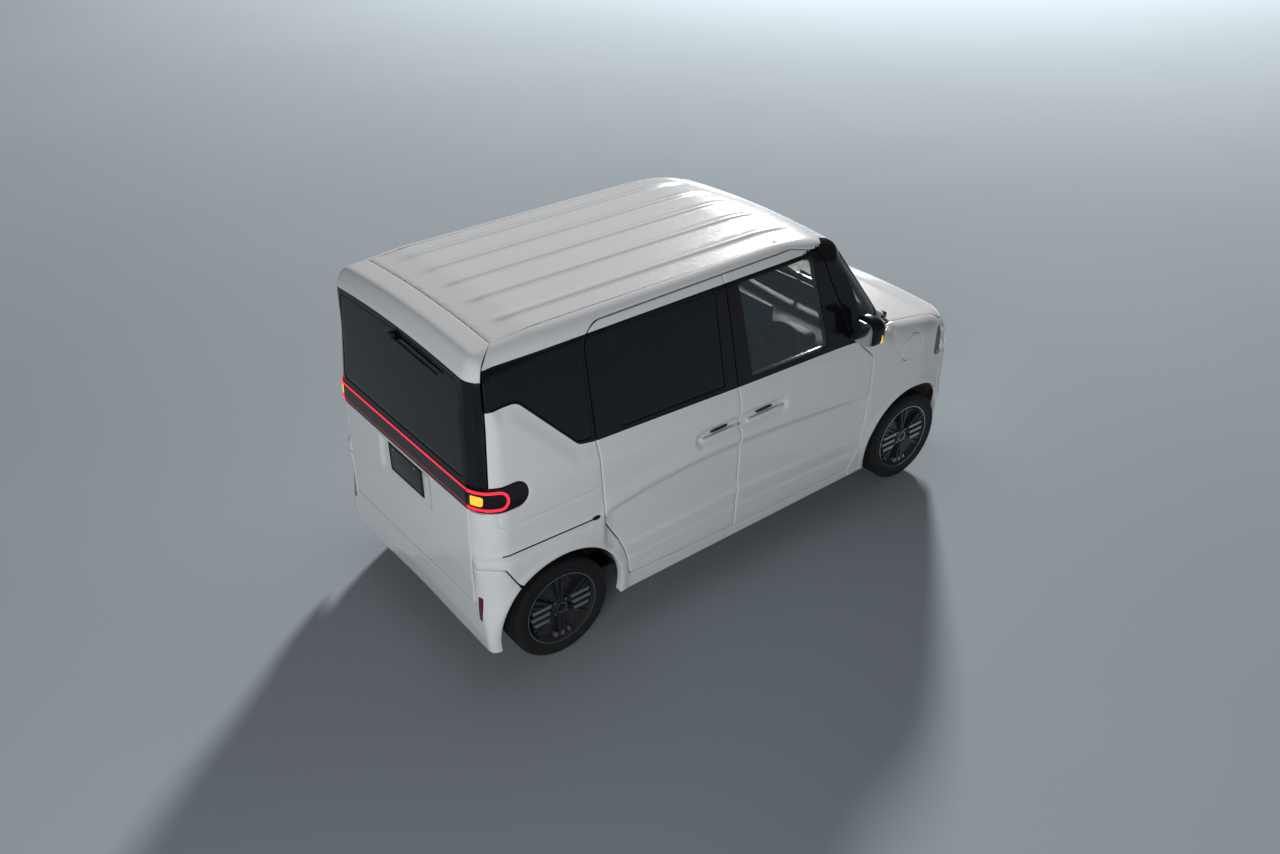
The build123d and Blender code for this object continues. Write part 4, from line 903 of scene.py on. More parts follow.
def spanned(points):
    """A line from the middle outwards, carried on to the other side."""
    return np.concatenate([points[::-1] * [1, -1, 1], points[1:]])


def pebble(name, low, high, material, power=4.0, cuts=7, shape=None):
    """A rounded box between two corners, drawn to a softer form where shape is given."""
    bm = bmesh.new()
    bmesh.ops.create_cube(bm, size=2.0)
    bmesh.ops.subdivide_edges(bm, edges=bm.edges, cuts=cuts, use_grid_fill=True)
    low, high = np.array(low, float), np.array(high, float)
    for v in bm.verts:
        p = np.array(v.co)
        p = np.tan(p * math.pi / 4 * 0.999)
        p = p / (np.abs(p) ** power).sum() ** (1 / power)
        if shape:
            p = shape(p)
        v.co = (low + high) / 2 + p * (high - low) / 2
    made = mesh_object(name, [], [], [material])
    bm.to_mesh(made.data)
    bm.free()
    made.data.shade_smooth()
    return made


def spun(name, profile, materials, segments=96, closed=False, bands=None):
    """A form turned about the axle, from rows of (along the axle, radius); bands give each row's finish."""
    verts, faces, index = [], [], []
    n = len(profile)
    for k in range(segments):
        a = 2 * math.pi * k / segments
        verts += [(r * math.sin(a), y, r * math.cos(a)) for y, r in profile]
    for k in range(segments):
        j = (k + 1) % segments
        for i in range(n if closed else n - 1):
            m = (i + 1) % n
            faces.append((k * n + i, k * n + m, j * n + m, j * n + i))
            index.append(bands[i] if bands else 0)
    piece = mesh_object(name, verts, faces, materials, index)
    bm = bmesh.new()
    bm.from_mesh(piece.data)
    bmesh.ops.remove_doubles(bm, verts=bm.verts, dist=1e-6)
    bmesh.ops.recalc_face_normals(bm, faces=bm.faces)
    bm.to_mesh(piece.data)
    bm.free()
    piece.data.shade_smooth()
    piece.data.set_sharp_from_angle(angle=math.radians(34))
    return piece


def shaped_bar(name, corners, low, high, material, bevel=0.002, rounds=3):
    """A flat plate with bevelled edges, from its outline (x, z) and its span along y."""
    n = len(corners)
    verts = [(x, y, z) for y in (low, high) for x, z in corners]
    faces = [tuple(range(n)), tuple(reversed(range(n, 2 * n)))]
    faces += [((i + 1) % n, i, n + i, n + (i + 1) % n) for i in range(n)]
    piece = mesh_object(name, verts, faces, [material])
    bm = bmesh.new()
    bm.from_mesh(piece.data)
    bmesh.ops.recalc_face_normals(bm, faces=bm.faces)
    bmesh.ops.bevel(bm, geom=list(bm.edges), offset=bevel, segments=rounds, affect="EDGES", profile=0.6)
    bm.to_mesh(piece.data)
    bm.free()
    piece.data.shade_smooth()
    piece.data.set_sharp_from_angle(angle=math.radians(50))
    return piece


def moved(piece, *by):
    """Shifts a piece's mesh, and leaves the piece at the origin."""
    piece.data.transform(Matrix.Translation(by))
    return piece


def turned(piece, angle, axis):
    """Turns a piece's mesh about the origin."""
    piece.data.transform(Matrix.Rotation(angle, 4, axis))
    return piece


# ---------------------------------------------------------------- seams, drawn in side view
def drawn(rows, by=0.0):
    """A closed outline in its own view, moved out by a distance."""
    line = rounded(rows, step=0.02)
    return grow(line, by) if by else line


B_LINE = [(B_X - 0.006, SILL - 0.012), (B_X + 0.016, 0.76, 0.9), (B_X, BELT, 0.4), (B_X - 0.058, 1.748)]
FRONT_EDGE = [(0.27, 1.748, 0.2), (0.452, 1.694, 0.06), (0.5035, 1.56, 0.5), (HEAD_X + 0.1, 1.128, 0.12),
              (DOOR_X, 0.975, 0.06), (DOOR_X, 0.78, 0.4), (DOOR_X - 0.038, 0.4, 0.16),
              (DOOR_X - 0.125, 0.263, 0.06)]
SLIDE_EDGE = [(SLIDE_X + 0.172, 0.303, 0.02), (SLIDE_X + 0.158, 0.42, 0.16), (SLIDE_X + 0.112, 0.545, 0.12),
              (SLIDE_X + 0.028, 0.69, 0.08), (SLIDE_X + 0.004, 1.18, 0.9), (SLIDE_X - 0.012, 1.746, 0.11)]
FRONT_DOOR = B_LINE + FRONT_EDGE
SLIDING_DOOR = SLIDE_EDGE + B_LINE[::-1]
OPENING = [B_LINE[0] + (0.0,)] + SLIDE_EDGE + [B_LINE[3] + (0.0,)] + FRONT_EDGE
FRONT_PANE = [(B_X + 0.096, 1.162, 0.012), (B_X + 0.022, 1.686, 0.012), (HEAD_X - 0.205, 1.686, 0.025),
              (HEAD_X - 0.09, 1.148, 0.02)]
SLIDE_PANE = [(SLIDE_X + 0.15, 1.184, 0.02), (SLIDE_X + 0.128, 1.69, 0.02), (B_X - 0.118, 1.688, 0.012),
              (B_X - 0.08, 1.164, 0.012)]
REAR_PANE = [(WRAP_X + 0.016, 1.695, 0.008), (SLIDE_X - 0.03, 1.695, 0.008), (SLIDE_X - 0.018, 1.196, 0.008),
             (SLIDE_X - 0.092, 1.198, 0.06), (SLIDE_X - 0.385, 1.520, 0.06), (WRAP_X + 0.016, 1.518, 0.008)]
QUARTER_PANE = [(HEAD_X + 0.002, 1.638, 0.014), (HEAD_X + 0.022, 1.634, 0.014),
                (SCREEN_X - 0.116, 1.212, 0.03), (HEAD_X + 0.152, 1.236, 0.02)]
# where the sheet changes from white to black round the windows
GLASSHOUSE = [(-1.75, 1.510), (SLIDE_X - 0.392, 1.509, 0.07), (SLIDE_X - 0.094, 1.186, 0.07),
              (SLIDE_X, 1.170, 0.3), (B_X, 1.134, 0.9), (0.81, 1.106, 0.3), (1.2, 1.098), (1.2, 1.60),
              (0.60, 1.735), (0.47, 1.712, 0.1), (0.28, 1.7055, 0.3), (-1.75, 1.7055)]
CHARGE = [(1.1105, 0.83, 0.05), (1.0985, 0.97, 0.06), (1.2645, 1.022, 0.055), (1.2785, 0.89, 0.06)]
HOUSE_LINE = drawn(GLASSHOUSE)
SPOILER_LIP = 1.690


def lip_height(y):
    """Lower edge of the tailgate's spoiler."""
    return SPOILER_LIP - 0.030 * np.minimum(np.abs(y) / 0.62, 1.2) ** 2


def flank_paint(p):
    """White sheet, or black round the windows."""
    return within(p[:, [0, 2]], HOUSE_LINE).astype(int)


def gate_paint(p):
    """White below the light bar and above the spoiler's lip, black between."""
    a = np.abs(p[:, 1])
    lamp = (p[:, 2] > 1.012) | ((a > 0.607) & (p[:, 2] > 1.1))
    return (lamp & (p[:, 2] < lip_height(p[:, 1]))).astype(int)


def mark(*legs):
    """A line where the finish changes."""
    return route(*legs, closed=False, step=0.02)


LOW_MARK = mark(("side", [(-1.60, 1.5095), *GLASSHOUSE[1:7]]))
HIGH_MARK = mark(("side", [(0.57, 1.70), (0.47, 1.695), (0.28, 1.7055, 0.3), (-1.60, 1.7055)]))
WRAP_T = float(locate("side", np.array([[-1.589, 1.5]]))[0, 0])
GATE_T = float(locate("side", np.array([[-1.5965, 1.5]]))[0, 0])
EDGE_Q = 1.6 + UP_MAX
opening = drawn(OPENING, SEAM / 2)


def stretch(line, start, end, passing):
    """The part of a closed line from start to end that goes by a third point."""
    n = len(line)
    at = [int(((line - np.array(p)) ** 2).sum(1).argmin()) for p in (start, end, passing)]
    ahead = (at[1] - at[0]) % n
    if (at[2] - at[0]) % n <= ahead:
        return line[[(at[0] + k) % n for k in range(ahead + 1)]]
    return line[[(at[0] - k) % n for k in range((at[0] - at[1]) % n + 1)]]


def arch(cx, start, end, radius=ARCH_R):
    """Points round a wheel arch between two angles in degrees."""
    return [(cx + radius * math.cos(math.radians(a)), AXLE_Z + radius * math.sin(math.radians(a)))
            for a in np.linspace(start, end, int(abs(end - start) / 3) + 1)]


# ---------------------------------------------------------------- sides of the body
def build_side():
    """Quarter, cantrail, screen pillar and sill as one pressing round the door openings."""
    rim = stretch(opening, (0.738, 0.2595), (0.724, 1.106), (SLIDE_X, 1.2))
    line = route(
        ("side", [(0.738, 0.2075), (0.738, 0.256)]),
        ("side", [tuple(p) for p in rim]),
        ("side", [(0.735, 1.105), (0.985, 1.105)]),
        ("top", [(1.026, 0.664), (1.026, 0.6235), (0.604, 0.5835), (0.600, 0.40), (REAR_CORE, 0.40)]),
        ("skin", [(REAR_CORE, EDGE_Q), (WRAP_T, EDGE_Q), (WRAP_T, 1.1435)]),
        ("side", [(-1.585, 1.1435), (-1.432, 1.1435, 0.0655), (-1.432, 1.0115, 0.0655), (-1.62, 1.0115)]),
        ("rear", [(0.6135, 1.0115), (0.6135, 0.7035), (0.66, 0.7035)]),
        ("side", [(-1.61, 0.7035), (-1.594, 0.7035, 0.02), (-1.5265, 0.5835)]),
        ("side", arch(REAR_AXLE, 129, -11.7)),
        ("side", [(-0.915, 0.2075), (0.735, 0.2075)]))
    panes = [route(("side", REAR_PANE)), route(("side", QUARTER_PANE))]
    lower = mark(("side", [(-1.60, 1.000), (-1.60, 0.925, 0.03), (-1.5, 0.921), (SLIDE_X - 0.012, 0.918)]))
    ledge = [mark(("side", [(-1.60, 0.768 + d), (SLIDE_X + 0.005, 0.7505 + d)]))
             for d in (0.0, -0.004, -0.016)]
    side = panel("body_side_right", line, [PAINT, BLACK, CABIN, CABIN], holes=panes, back=2,
                 marks=[LOW_MARK, HIGH_MARK, *ledge], scores=[lower], paint=flank_paint,
                 soft=lambda p: (np.abs(p[:, 1]) < 0.568) & (p[:, 2] > 1.62))
    fit(twin(side, "body_side_left"), "body", "body_side_left", slot="paint_white")
    fit(side, "body", "body_side_right", slot="paint_white")
    # what shows round the openings when the doors are away
    outer = drawn(OPENING, 0.022)
    outer = np.clip(outer, [-2, 0.24], [0.790, 2])
    holes = [locate("side", np.minimum(drawn(rows, -0.034), [0.768, 9]))
             for rows in (FRONT_DOOR, SLIDING_DOOR)]
    jamb = panel("door_jambs", locate("side", outer), [PAINT], holes=holes, sink=0.056, wall=0.018, grid=0.03)
    fit(both(jamb, "door_jambs"), "body", slot="paint_white")
    seals = [bead("seal", skin_line([("side", [tuple(p) for p in drawn(rows, -0.040)])], -0.052, closed=True),
                  0.006, SEAL, closed=True) for rows in (FRONT_DOOR, SLIDING_DOOR)]
    fit(both(join("door_seals", seals), "door_seals"), "body", slot="black_plastic")
    pane = panel("rear_pane", route(("side", REAR_PANE)), [PRIVACY], sink=0.0015, wall=0.004)
    fit(both(pane, "rear_quarter_glass"), "body", "rear_quarter_glass", slot="glass_dark")
    pane = panel("quarter_pane", route(("side", QUARTER_PANE)), [GLASS], sink=0.003, wall=0.004)
    fit(both(pane, "front_quarter_glass"), "body", "front_quarter_glass", slot="glass_clear")
    # slot that the sliding door's roller runs in
    slot = skin_line([("side", [(-1.595, 0.7675), (SLIDE_X - 0.006, 0.7505)])], -0.0005)
    slot = bead("rail_slot", slot, 0.0036, SEAL)
    end = pebble("slot_end", (SLIDE_X - 0.052, -0.7415, 0.736), (SLIDE_X - 0.004, -0.728, 0.764), SEAL,
                 power=2.6)
    fit(both(join("rail_slots", [slot, end]), "rail_slots"), "body", slot="black_plastic")


def build_doors():
    """Front and sliding doors, their panes, handles and seals."""
    for name, rows, pane, glass in (("front_door", FRONT_DOOR, FRONT_PANE, GLASS),
                                    ("sliding_door", SLIDING_DOOR, SLIDE_PANE, PRIVACY)):
        line = locate("side", drawn(rows, -SEAM / 2))
        skin = panel(name, line, [PAINT, BLACK, CABIN, CABIN], holes=[route(("side", pane))],
                     marks=[LOW_MARK, HIGH_MARK], paint=flank_paint, back=2, grid=0.014)
        window = panel(name + "_pane", route(("side", pane)), [glass], sink=0.004, wall=0.004)
        surround = bead(name + "_surround", skin_line([("side", pane)], -0.0015, closed=True), 0.0042, SEAL,
                        closed=True)
        x = 0.036 if name == "front_door" else -0.276
        grip = pebble(name + "_grip", (x - 0.128, -0.7445, 0.905), (x + 0.128, -0.7265, 0.931), PAINT,
                      power=3.6)
        ends = [pebble("foot", (x + s * 0.110 - 0.014, -0.735, 0.907), (x + s * 0.110 + 0.014, -0.712, 0.930),
                       PAINT) for s in (-1, 1)]
        pad = pebble("pad", (x - 0.060, -0.7275, 0.935), (x + 0.058, -0.712, 0.953), TRIM, power=3.5)
        furniture = join(name + "_furniture", [surround, grip, *ends, pad])
        panes = []
        for side in ("right", "left"):
            rides = f"front_door_{side}" if name == "front_door" else "body"
            here = (skin, window, furniture)
            if side == "left":
                here = [twin(p, p.name + "_left") for p in here]
            fit(here[0], rides, f"{name}_{side}", slot="paint_white")
            fit(here[2], rides, slot="paint_white")
            panes.append(here[1])
        if name == "front_door":
            fit(panes[0], "front_door_right", "front_door_glass_right", slot="glass_clear")
            fit(panes[1], "front_door_left", "front_door_glass_left", slot="glass_clear")
        else:
            fit(join("sliding_door_panes", panes), "body", "sliding_door_glass", slot="glass_dark")


# ---------------------------------------------------------------- roof, tail and nose
def build_roof():
    """Roof skin with its beads, and the pale lining under it."""
    side = route(("top", [(0.600, 0.40), (REAR_CORE, 0.40)]))
    edge = land(wrap_rays, side[:, 0], side[:, 1])[:, :2]
    edge = edge[edge[:, 0] > -1.4665]
    line = np.concatenate([np.stack([np.full(24, 0.5995), np.linspace(0.03, -0.54, 24)], -1), edge,
                           np.stack([np.full(24, -1.4665), np.linspace(-0.56, 0.03, 24)], -1)])
    marks = []
    for y0 in BEADS:
        for off in (-0.026, -0.0165, -0.0096, 0.0096, 0.0165, 0.026):
            if y0 + off > 0.001:
                marks.append(np.stack([np.linspace(-1.40, 0.44, 90), np.full(90, -(y0 + off))], -1))
    roof = panel("roof", line, [PAINT, LINING], rays=drop_rays, marks=marks, back=1, grid=0.024, wall=0.03,
                 soft=lambda p: np.abs(p[:, 1]) > 0.552, whole=True)
    fit(roof, "body", "roof_panel", slot="paint_white").name = "roof_panel"


def build_tailgate():
    """The lift-up door: lower panel, black surround, spoiler, pane, light bar, plate and wiper."""
    line = route(
        ("rear", [(-0.03, 0.4585), (0.6065, 0.4585, 0.022), (0.6065, 1.1435)]),
        ("skin", [(GATE_T, 1.1435), (GATE_T, EDGE_Q), (REAR_T - 0.03, EDGE_Q)]),
        ("rear", [(-0.03, 1.668), (0.572, 1.640, 0.045), (0.590, 1.166, 0.03), (-0.03, 1.166)]))
    marks = [mark(("skin", [(REAR_T - 0.05, 1.012), (GATE_T, 1.012)]))]
    ys = np.linspace(-0.04, 0.72, 42)
    for rise in (-0.004, 0.0, 0.004):
        marks.append(locate("rear", np.stack([ys, lip_height(ys) + rise], -1)))
    gate = panel("gate", line, [PAINT, BLACK, CABIN, CABIN], marks=marks, paint=gate_paint, back=2, wall=0.04,
                 grid=0.014, whole=True)
    fit(gate, "tailgate", "tailgate", slot="paint_white").name = "tailgate"
    pane = panel("gate_pane",
                 route(("rear", [(-0.03, 1.1675), (0.5885, 1.1675, 0.03), (0.5705, 1.6385, 0.045),
                                 (-0.03, 1.6665)])), [PRIVACY], sink=0.002, wall=0.004, whole=True)
    fit(pane, "tailgate", "tailgate_glass", slot="glass_dark").name = "tailgate_glass"
    strip = panel("bar",
                  route(("rear", [(-0.03, 1.018), (0.602, 1.018, 0.004), (0.602, 1.137, 0.004),
                                  (-0.03, 1.137)])), [SMOKED], sink=-0.0015, wall=0.006, edge=0.001,
                  whole=True)
    fit(strip, "tailgate", "light_bar", slot="paint_black").name = "light_bar"
    bright = bead("light_line", spanned(skin_line([("rear", [(0.0, 1.123), (0.602, 1.123)])], 0.0018)),
                  0.0042, RED_GLOW)
    fit(bright, "tailgate", slot="lamp_red")
    lower = bead("lower_light_line", spanned(skin_line([("rear", [(0.0, 1.036), (0.602, 1.036)])], 0.0)),
                 0.0026, RED_FAINT)
    fit(lower, "tailgate", slot="lamp_red")
    # blank number plate on its recess
    at = land(wrap_rays, [REAR_T], [0.905])[0]
    plate = shaped_bar("plate", [(-0.165, -0.0825), (0.165, -0.0825), (0.165, 0.0825), (-0.165, 0.0825)],
                       -0.003, 0.003, PLATE, bevel=0.0022)
    edge = rounded([(-0.157, -0.0745, 0.008), (0.157, -0.0745, 0.008), (0.157, 0.0745, 0.008),
                    (-0.157, 0.0745, 0.008)])
    rim = bead("plate_rim", [(x, -0.0035, z) for x, z in edge], 0.0022, PLATE, closed=True, sides=8)
    bolts = [pebble("bolt", (s * 0.105 - 0.007, -0.007, 0.055), (s * 0.105 + 0.007, -0.002, 0.069), CHROME,
                    power=2.5, cuts=3) for s in (-1, 1)]
    plate = join("number_plate", [plate, rim, *bolts])
    turned(plate, -math.pi / 2, "Z")
    moved(plate, at[0] - 0.004, 0, 0.905)
    fit(plate, "tailgate", slot="black_plastic")
    # wiper along the foot of the spoiler
    path = skin_line([("rear", [(0.41, 1.612), (0.0, 1.632)])], 0.014)
    arm = bead("arm", skin_line([("rear", [(0.30, 1.618), (0.0, 1.634)])], 0.020), 0.0065, TRIM)
    blade = bead("blade", path, 0.0055, SEAL)
    cap = pebble("cap", (-1.6735, -0.022, 1.612), (-1.640, 0.034, 1.652), TRIM, power=3)
    fit(join("rear_wiper", [arm, blade, cap]), "tailgate", "rear_wiper", slot="black_plastic")


def build_rear_lights():
    """Capsule lamps on the corners with their lit outlines, and the low reflectors."""
    capsule = route(
        ("rear", [(0.6095, 1.0150), (0.6095, 1.1400)]),
        ("side", [(-1.60, 1.1400), (-1.4355, 1.1400, 0.062), (-1.4355, 1.0150, 0.062), (-1.60, 1.0150)]))
    cover = panel("lamp_cover", capsule, [SMOKED], sink=-0.002, wall=0.030, edge=0.0018, grid=0.008)
    outline = skin_line([("rear", [(0.612, 1.1205), (0.66, 1.1205)]),
                         ("side", [(-1.64, 1.1205), (-1.545, 1.1205, 0.045), (-1.545, 1.0345, 0.045),
                                   (-1.64, 1.0345)]), ("rear", [(0.66, 1.0345), (0.612, 1.0345)])], 0.0025,
                        step=0.008)
    ring = bead("lamp_ring", outline, 0.0068, RED_GLOW)
    inner = route(("rear", [(0.630, 1.053, 0.004), (0.630, 1.101, 0.004), (0.686, 1.101, 0.012),
                            (0.686, 1.053, 0.012)]))
    block = panel("amber", inner, [AMBER_GLOW], sink=-0.0055, wall=0.006, edge=0.0015, grid=0.008)
    ribs = [bead("rib", skin_line([("side", [(x, 1.054), (x, 1.101)])], 0.0018), 0.0016, BLACK, sides=6)
            for x in (-1.625, -1.612, -1.599, -1.586, -1.573)]
    lamp = join("lamp", [cover, ring, block, *ribs])
    fit(both(lamp, "tail_lamps"), "body", "tail_lamps", slot="lamp_red")
    pane = panel("reflector",
                 route(("rear", [(0.640, 0.392, 0.006), (0.668, 0.392, 0.006), (0.668, 0.528, 0.006),
                                 (0.640, 0.528, 0.006)])), [REFLECTOR], sink=-0.002, wall=0.006, edge=0.0012,
                 grid=0.008)
    fit(both(pane, "low_reflectors"), "body", slot="lamp_red")


def build_bumpers():
    """Rear cover, and the closed nose with its lamp band and low intake."""
    line = route(
        ("rear", [(-0.03, 0.4515), (0.6135, 0.4515), (0.6135, 0.6965), (0.66, 0.6965)]),
        ("side", [(-1.61, 0.6965), (-1.598, 0.6965, 0.02), (-1.5325, 0.5795)]),
        ("side", arch(REAR_AXLE, 131.5, 191.7)),
        ("skin", [(-1.640, 0.2075), (REAR_T - 0.03, 0.2075)]))
    cover = panel("rear_cover", line, [PAINT, UNDERSEAL], back=1, wall=0.03, whole=True)
    fit(cover, "body", "rear_bumper", slot="paint_white").name = "rear_bumper"
    line = route(("front", [(-0.03, 0.9515), (0.396, 0.9515), (0.396, 0.9490, 0.0), (0.396, 0.860),
                            (0.396, 0.7715, 0.07), (0.62, 0.7715)]),
                 ("side", [(1.60, 0.7715), (1.511, 0.7715), (1.511, 0.520)]),
                 ("side", arch(FRONT_AXLE, 40.5, 40.5) + [(1.515, 0.512)] + arch(FRONT_AXLE, 38, -11.7)),
                 ("skin", [(1.600, 0.2075), (NOSE_T + 0.03, 0.2075)]),
                 ("front", [(-0.03, 0.2965), (0.434, 0.2965, 0.03), (0.474, 0.4435, 0.04), (-0.03, 0.4435)]))
    marks = [mark(("front", [(-0.05, z), (0.395, z)])) for z in (0.80, 0.925)]
    nose = panel("nose", line, [PAINT, BLACK, UNDERSEAL, UNDERSEAL], marks=marks, back=2, wall=0.03,
                 whole=True, paint=lambda p: ((p[:, 2] > 0.80) & (p[:, 2] < 0.925) & (p[:, 0] > 1.5)
                                              & (np.abs(p[:, 1]) < 0.3985)).astype(int))
    fit(nose, "body", "front_bumper", slot="paint_white").name = "front_bumper"
    slat = pebble("slat", (-0.010, -0.452, -0.0045), (0.010, 0.452, 0.0045), TRIM, power=5, cuts=5)
    slat = grown_by(SLATS, moved(slat, 1.664, 0, 0.322), Count=5, Pitch=(0.0, 0.0, 0.024), Material=TRIM)
    backing = panel("intake_back",
                    route(("front", [(-0.03, 0.290), (0.45, 0.290, 0.03), (0.485, 0.450, 0.04),
                                     (-0.03, 0.450)])), [TRIM], sink=0.038, wall=0.004, grid=0.04, whole=True)
    fit(join("grille", [slat, backing]), "body", "grille", slot="black_plastic")


def build_wings():
    """Front wings round the wheels, the charging flap and the headlamps."""
    rear_edge = stretch(opening, (0.738, 0.2595), (0.724, 1.100), (DOOR_X, 0.8))
    over = search([1.45], [1.66], lambda m: land(drop_rays, m, np.full(1, -0.6400))[:, 2] > 0.9575)[0]
    line = route(("side", [(0.745, 0.2075), (0.745, 0.254)]), ("side", [tuple(p) for p in rear_edge]),
                 ("side", [(0.740, 1.0985), (0.985, 1.0985)]),
                 ("top", [(1.030, 0.664), (1.032, 0.6400), (1.0865, 0.6400), (over, 0.6400)]),
                 ("side", [(over - 0.004, 0.9495), (1.430, 0.9495, 0.04), (1.430, 0.7705, 0.04),
                           (1.504, 0.7705), (1.504, 0.530)]), ("side", arch(FRONT_AXLE, 42.0, 191.7)),
                 ("side", [(0.875, 0.2075), (0.749, 0.2075)]))
    wing = panel("fender_right", line, [PAINT, UNDERSEAL], holes=[route(("side", CHARGE))], back=1, wall=0.03,
                 grid=0.014)
    plain = panel("fender_left", line, [PAINT, UNDERSEAL], back=1, wall=0.03, grid=0.014)
    left = twin(plain, "wing_left")
    bpy.data.objects.remove(plain)
    fit(left, "body", "fender_left", slot="paint_white").name = "wing_left"
    fit(wing, "body", "fender_right", slot="paint_white").name = "wing_right"
    flap = panel("charge_flap", locate("side", drawn(CHARGE, -0.0035)), [PAINT, TRIM], back=1, wall=0.006,
                 grid=0.01)
    fit(flap, "charge_lid", "charge_lid", slot="paint_white")
    pocket = panel("charge_pocket", locate("side", drawn(CHARGE, 0.01)), [TRIM], sink=0.034, wall=0.004,
                   grid=0.02)
    fit(pocket, "body", slot="black_plastic")
    lamp_line = [("front", [(0.62, 0.7755), (0.402, 0.7755, 0.078), (0.402, 0.9445, 0.078), (0.62, 0.9445)]),
                 ("side", [(1.56, 0.9445), (1.436, 0.9445, 0.05), (1.436, 0.7755, 0.05), (1.56, 0.7755)])]
    bowl = panel("lamp_bowl", route(*lamp_line), [BLACK], sink=0.030, wall=0.01, edge=0.001)
    lens = panel("lamp_lens", route(*lamp_line), [LENS], sink=0.001, wall=0.003, edge=0.0015)
    day = bead("day_ring",
               skin_line([("front", [(0.60, 0.80), (0.43, 0.80, 0.055), (0.43, 0.92, 0.055), (0.60, 0.92)])],
                         -0.014, step=0.01), 0.006, WHITE_GLOW)
    at = land(wrap_rays, *locate("front", np.array([[0.500, 0.86]])).T)[0]
    eye = spun("eye", [(0.0, 0.0), (-0.006, 0.018), (-0.002, 0.026), (-0.010, 0.034), (-0.004, 0.040),
                       (0.012, 0.042)], [CHROME], 48)
    turned(eye, math.pi / 2 - 0.35, "Z")
    moved(eye, at[0] - 0.016, at[1], 0.86)
    lamp = join("lamp_front", [bowl, lens, day, eye])
    fit(both(lamp, "headlamps"), "body", "headlamps", slot="lamp_clear")


def build_bonnet_and_screen():
    """Bonnet, cowl tray, windscreen with its black border, and wipers."""
    ys = np.concatenate([np.linspace(0, 0.55, 24), np.linspace(0.56, 0.6365, 12)])
    lip = search(np.full(len(ys), 1.40), np.full(len(ys), 1.69),
                 lambda m: land(drop_rays, m, -ys)[:, 2] > 0.9565)
    side_x = np.linspace(1.0905, lip[-1] - 0.01, 34)
    line = np.concatenate([np.stack([np.full(31, 1.0905), -np.linspace(-0.03, 0.63, 31)], -1),
                           np.stack([side_x, np.full(34, -0.6365)], -1), np.stack([lip[::-1], -ys[::-1]], -1),
                           [(lip[0], 0.03)]])
    lid = panel("bonnet_lid", line, [PAINT, UNDERSEAL], rays=drop_rays, back=1, wall=0.02, grid=0.02,
                whole=True)
    fit(lid, "bonnet", "bonnet", slot="paint_white").name = "bonnet"
    cowl = panel("cowl_tray",
                 route(("drop", [(1.030, -0.03), (1.030, 0.625), (1.0865, 0.625), (1.0865, -0.03)])), [TRIM],
                 rays=drop_rays, sink=0.006, wall=0.012, grid=0.02, whole=True)
    fit(cowl, "body", slot="black_plastic")
    screen_rows = [(1.026, -0.03), (1.026, 0.6195, 0.05), (0.6045, 0.5795, 0.05), (0.6045, -0.03)]
    clear = rounded([(0.990, -0.05), (0.990, 0.592, 0.05), (0.640, 0.552, 0.05), (0.640, -0.05)], False)
    screen = panel("screen", route(("drop", screen_rows)), [GLASS, BLACK], rays=drop_rays, sink=0.003,
                   wall=0.005, marks=[clear * [1, -1]],
                   paint=lambda p: (~within(np.stack([p[:, 0], np.abs(p[:, 1])], -1),
                                            np.concatenate([clear, [(0.640, -0.05)]]))).astype(int),
                   grid=0.02, whole=True)
    fit(screen, "body", "windscreen", slot="glass_clear").name = "windscreen"
    arms = []
    for y0, y1 in ((-0.48, -0.02), (0.06, 0.44)):
        foot = land(drop_rays, [1.052, 0.985, 0.972], [y0, y0 + 0.07, y1]) + np.array([[0.004, 0, 0.012]])
        arms.append(bead("arm", foot, 0.006, TRIM))
        edge = land(drop_rays, np.linspace(0.992, 0.972, 12), np.linspace(y0 - 0.01, y1, 12))
        arms.append(bead("blade", edge + np.array([[0.003, 0, 0.004]]), 0.0045, SEAL))
        arms.append(pebble("cap", (1.040, y0 - 0.016, 1.112), (1.068, y0 + 0.016, 1.142), TRIM, power=3))
    fit(join("front_wipers", arms), "body", "front_wipers", slot="black_plastic")


def build_mirrors():
    """Door mirrors on their arms, with the amber repeater."""
    def shell(p):
        p = p.copy()
        p[0] = p[0] * (1 - 0.18 * (p[1] + 1) / 2 * (p[0] > 0))
        p[2] = p[2] * (1 - 0.10 * (1 - p[1]) / 2)
        return p
    head = pebble("head", (0.628, -0.911, 1.150), (0.745, -0.752, 1.316), BLACK, power=3.2, cuts=11,
                  shape=shell)
    face = pebble("face", (0.6245, -0.897, 1.168), (0.634, -0.768, 1.300), CHROME, power=5)
    arm = pebble("arm", (0.655, -0.770, 1.142), (0.720, -0.716, 1.182), TRIM, power=3)
    lamp = pebble("repeater", (0.694, -0.9130, 1.180), (0.706, -0.880, 1.236), AMBER_GLOW, power=4)
    mirror = join("mirror_right", [head, face, arm, lamp])
    fit(twin(mirror, "mirror_left"), "front_door_left", "door_mirror_left", slot="paint_black")
    fit(mirror, "front_door_right", "door_mirror_right", slot="paint_black")


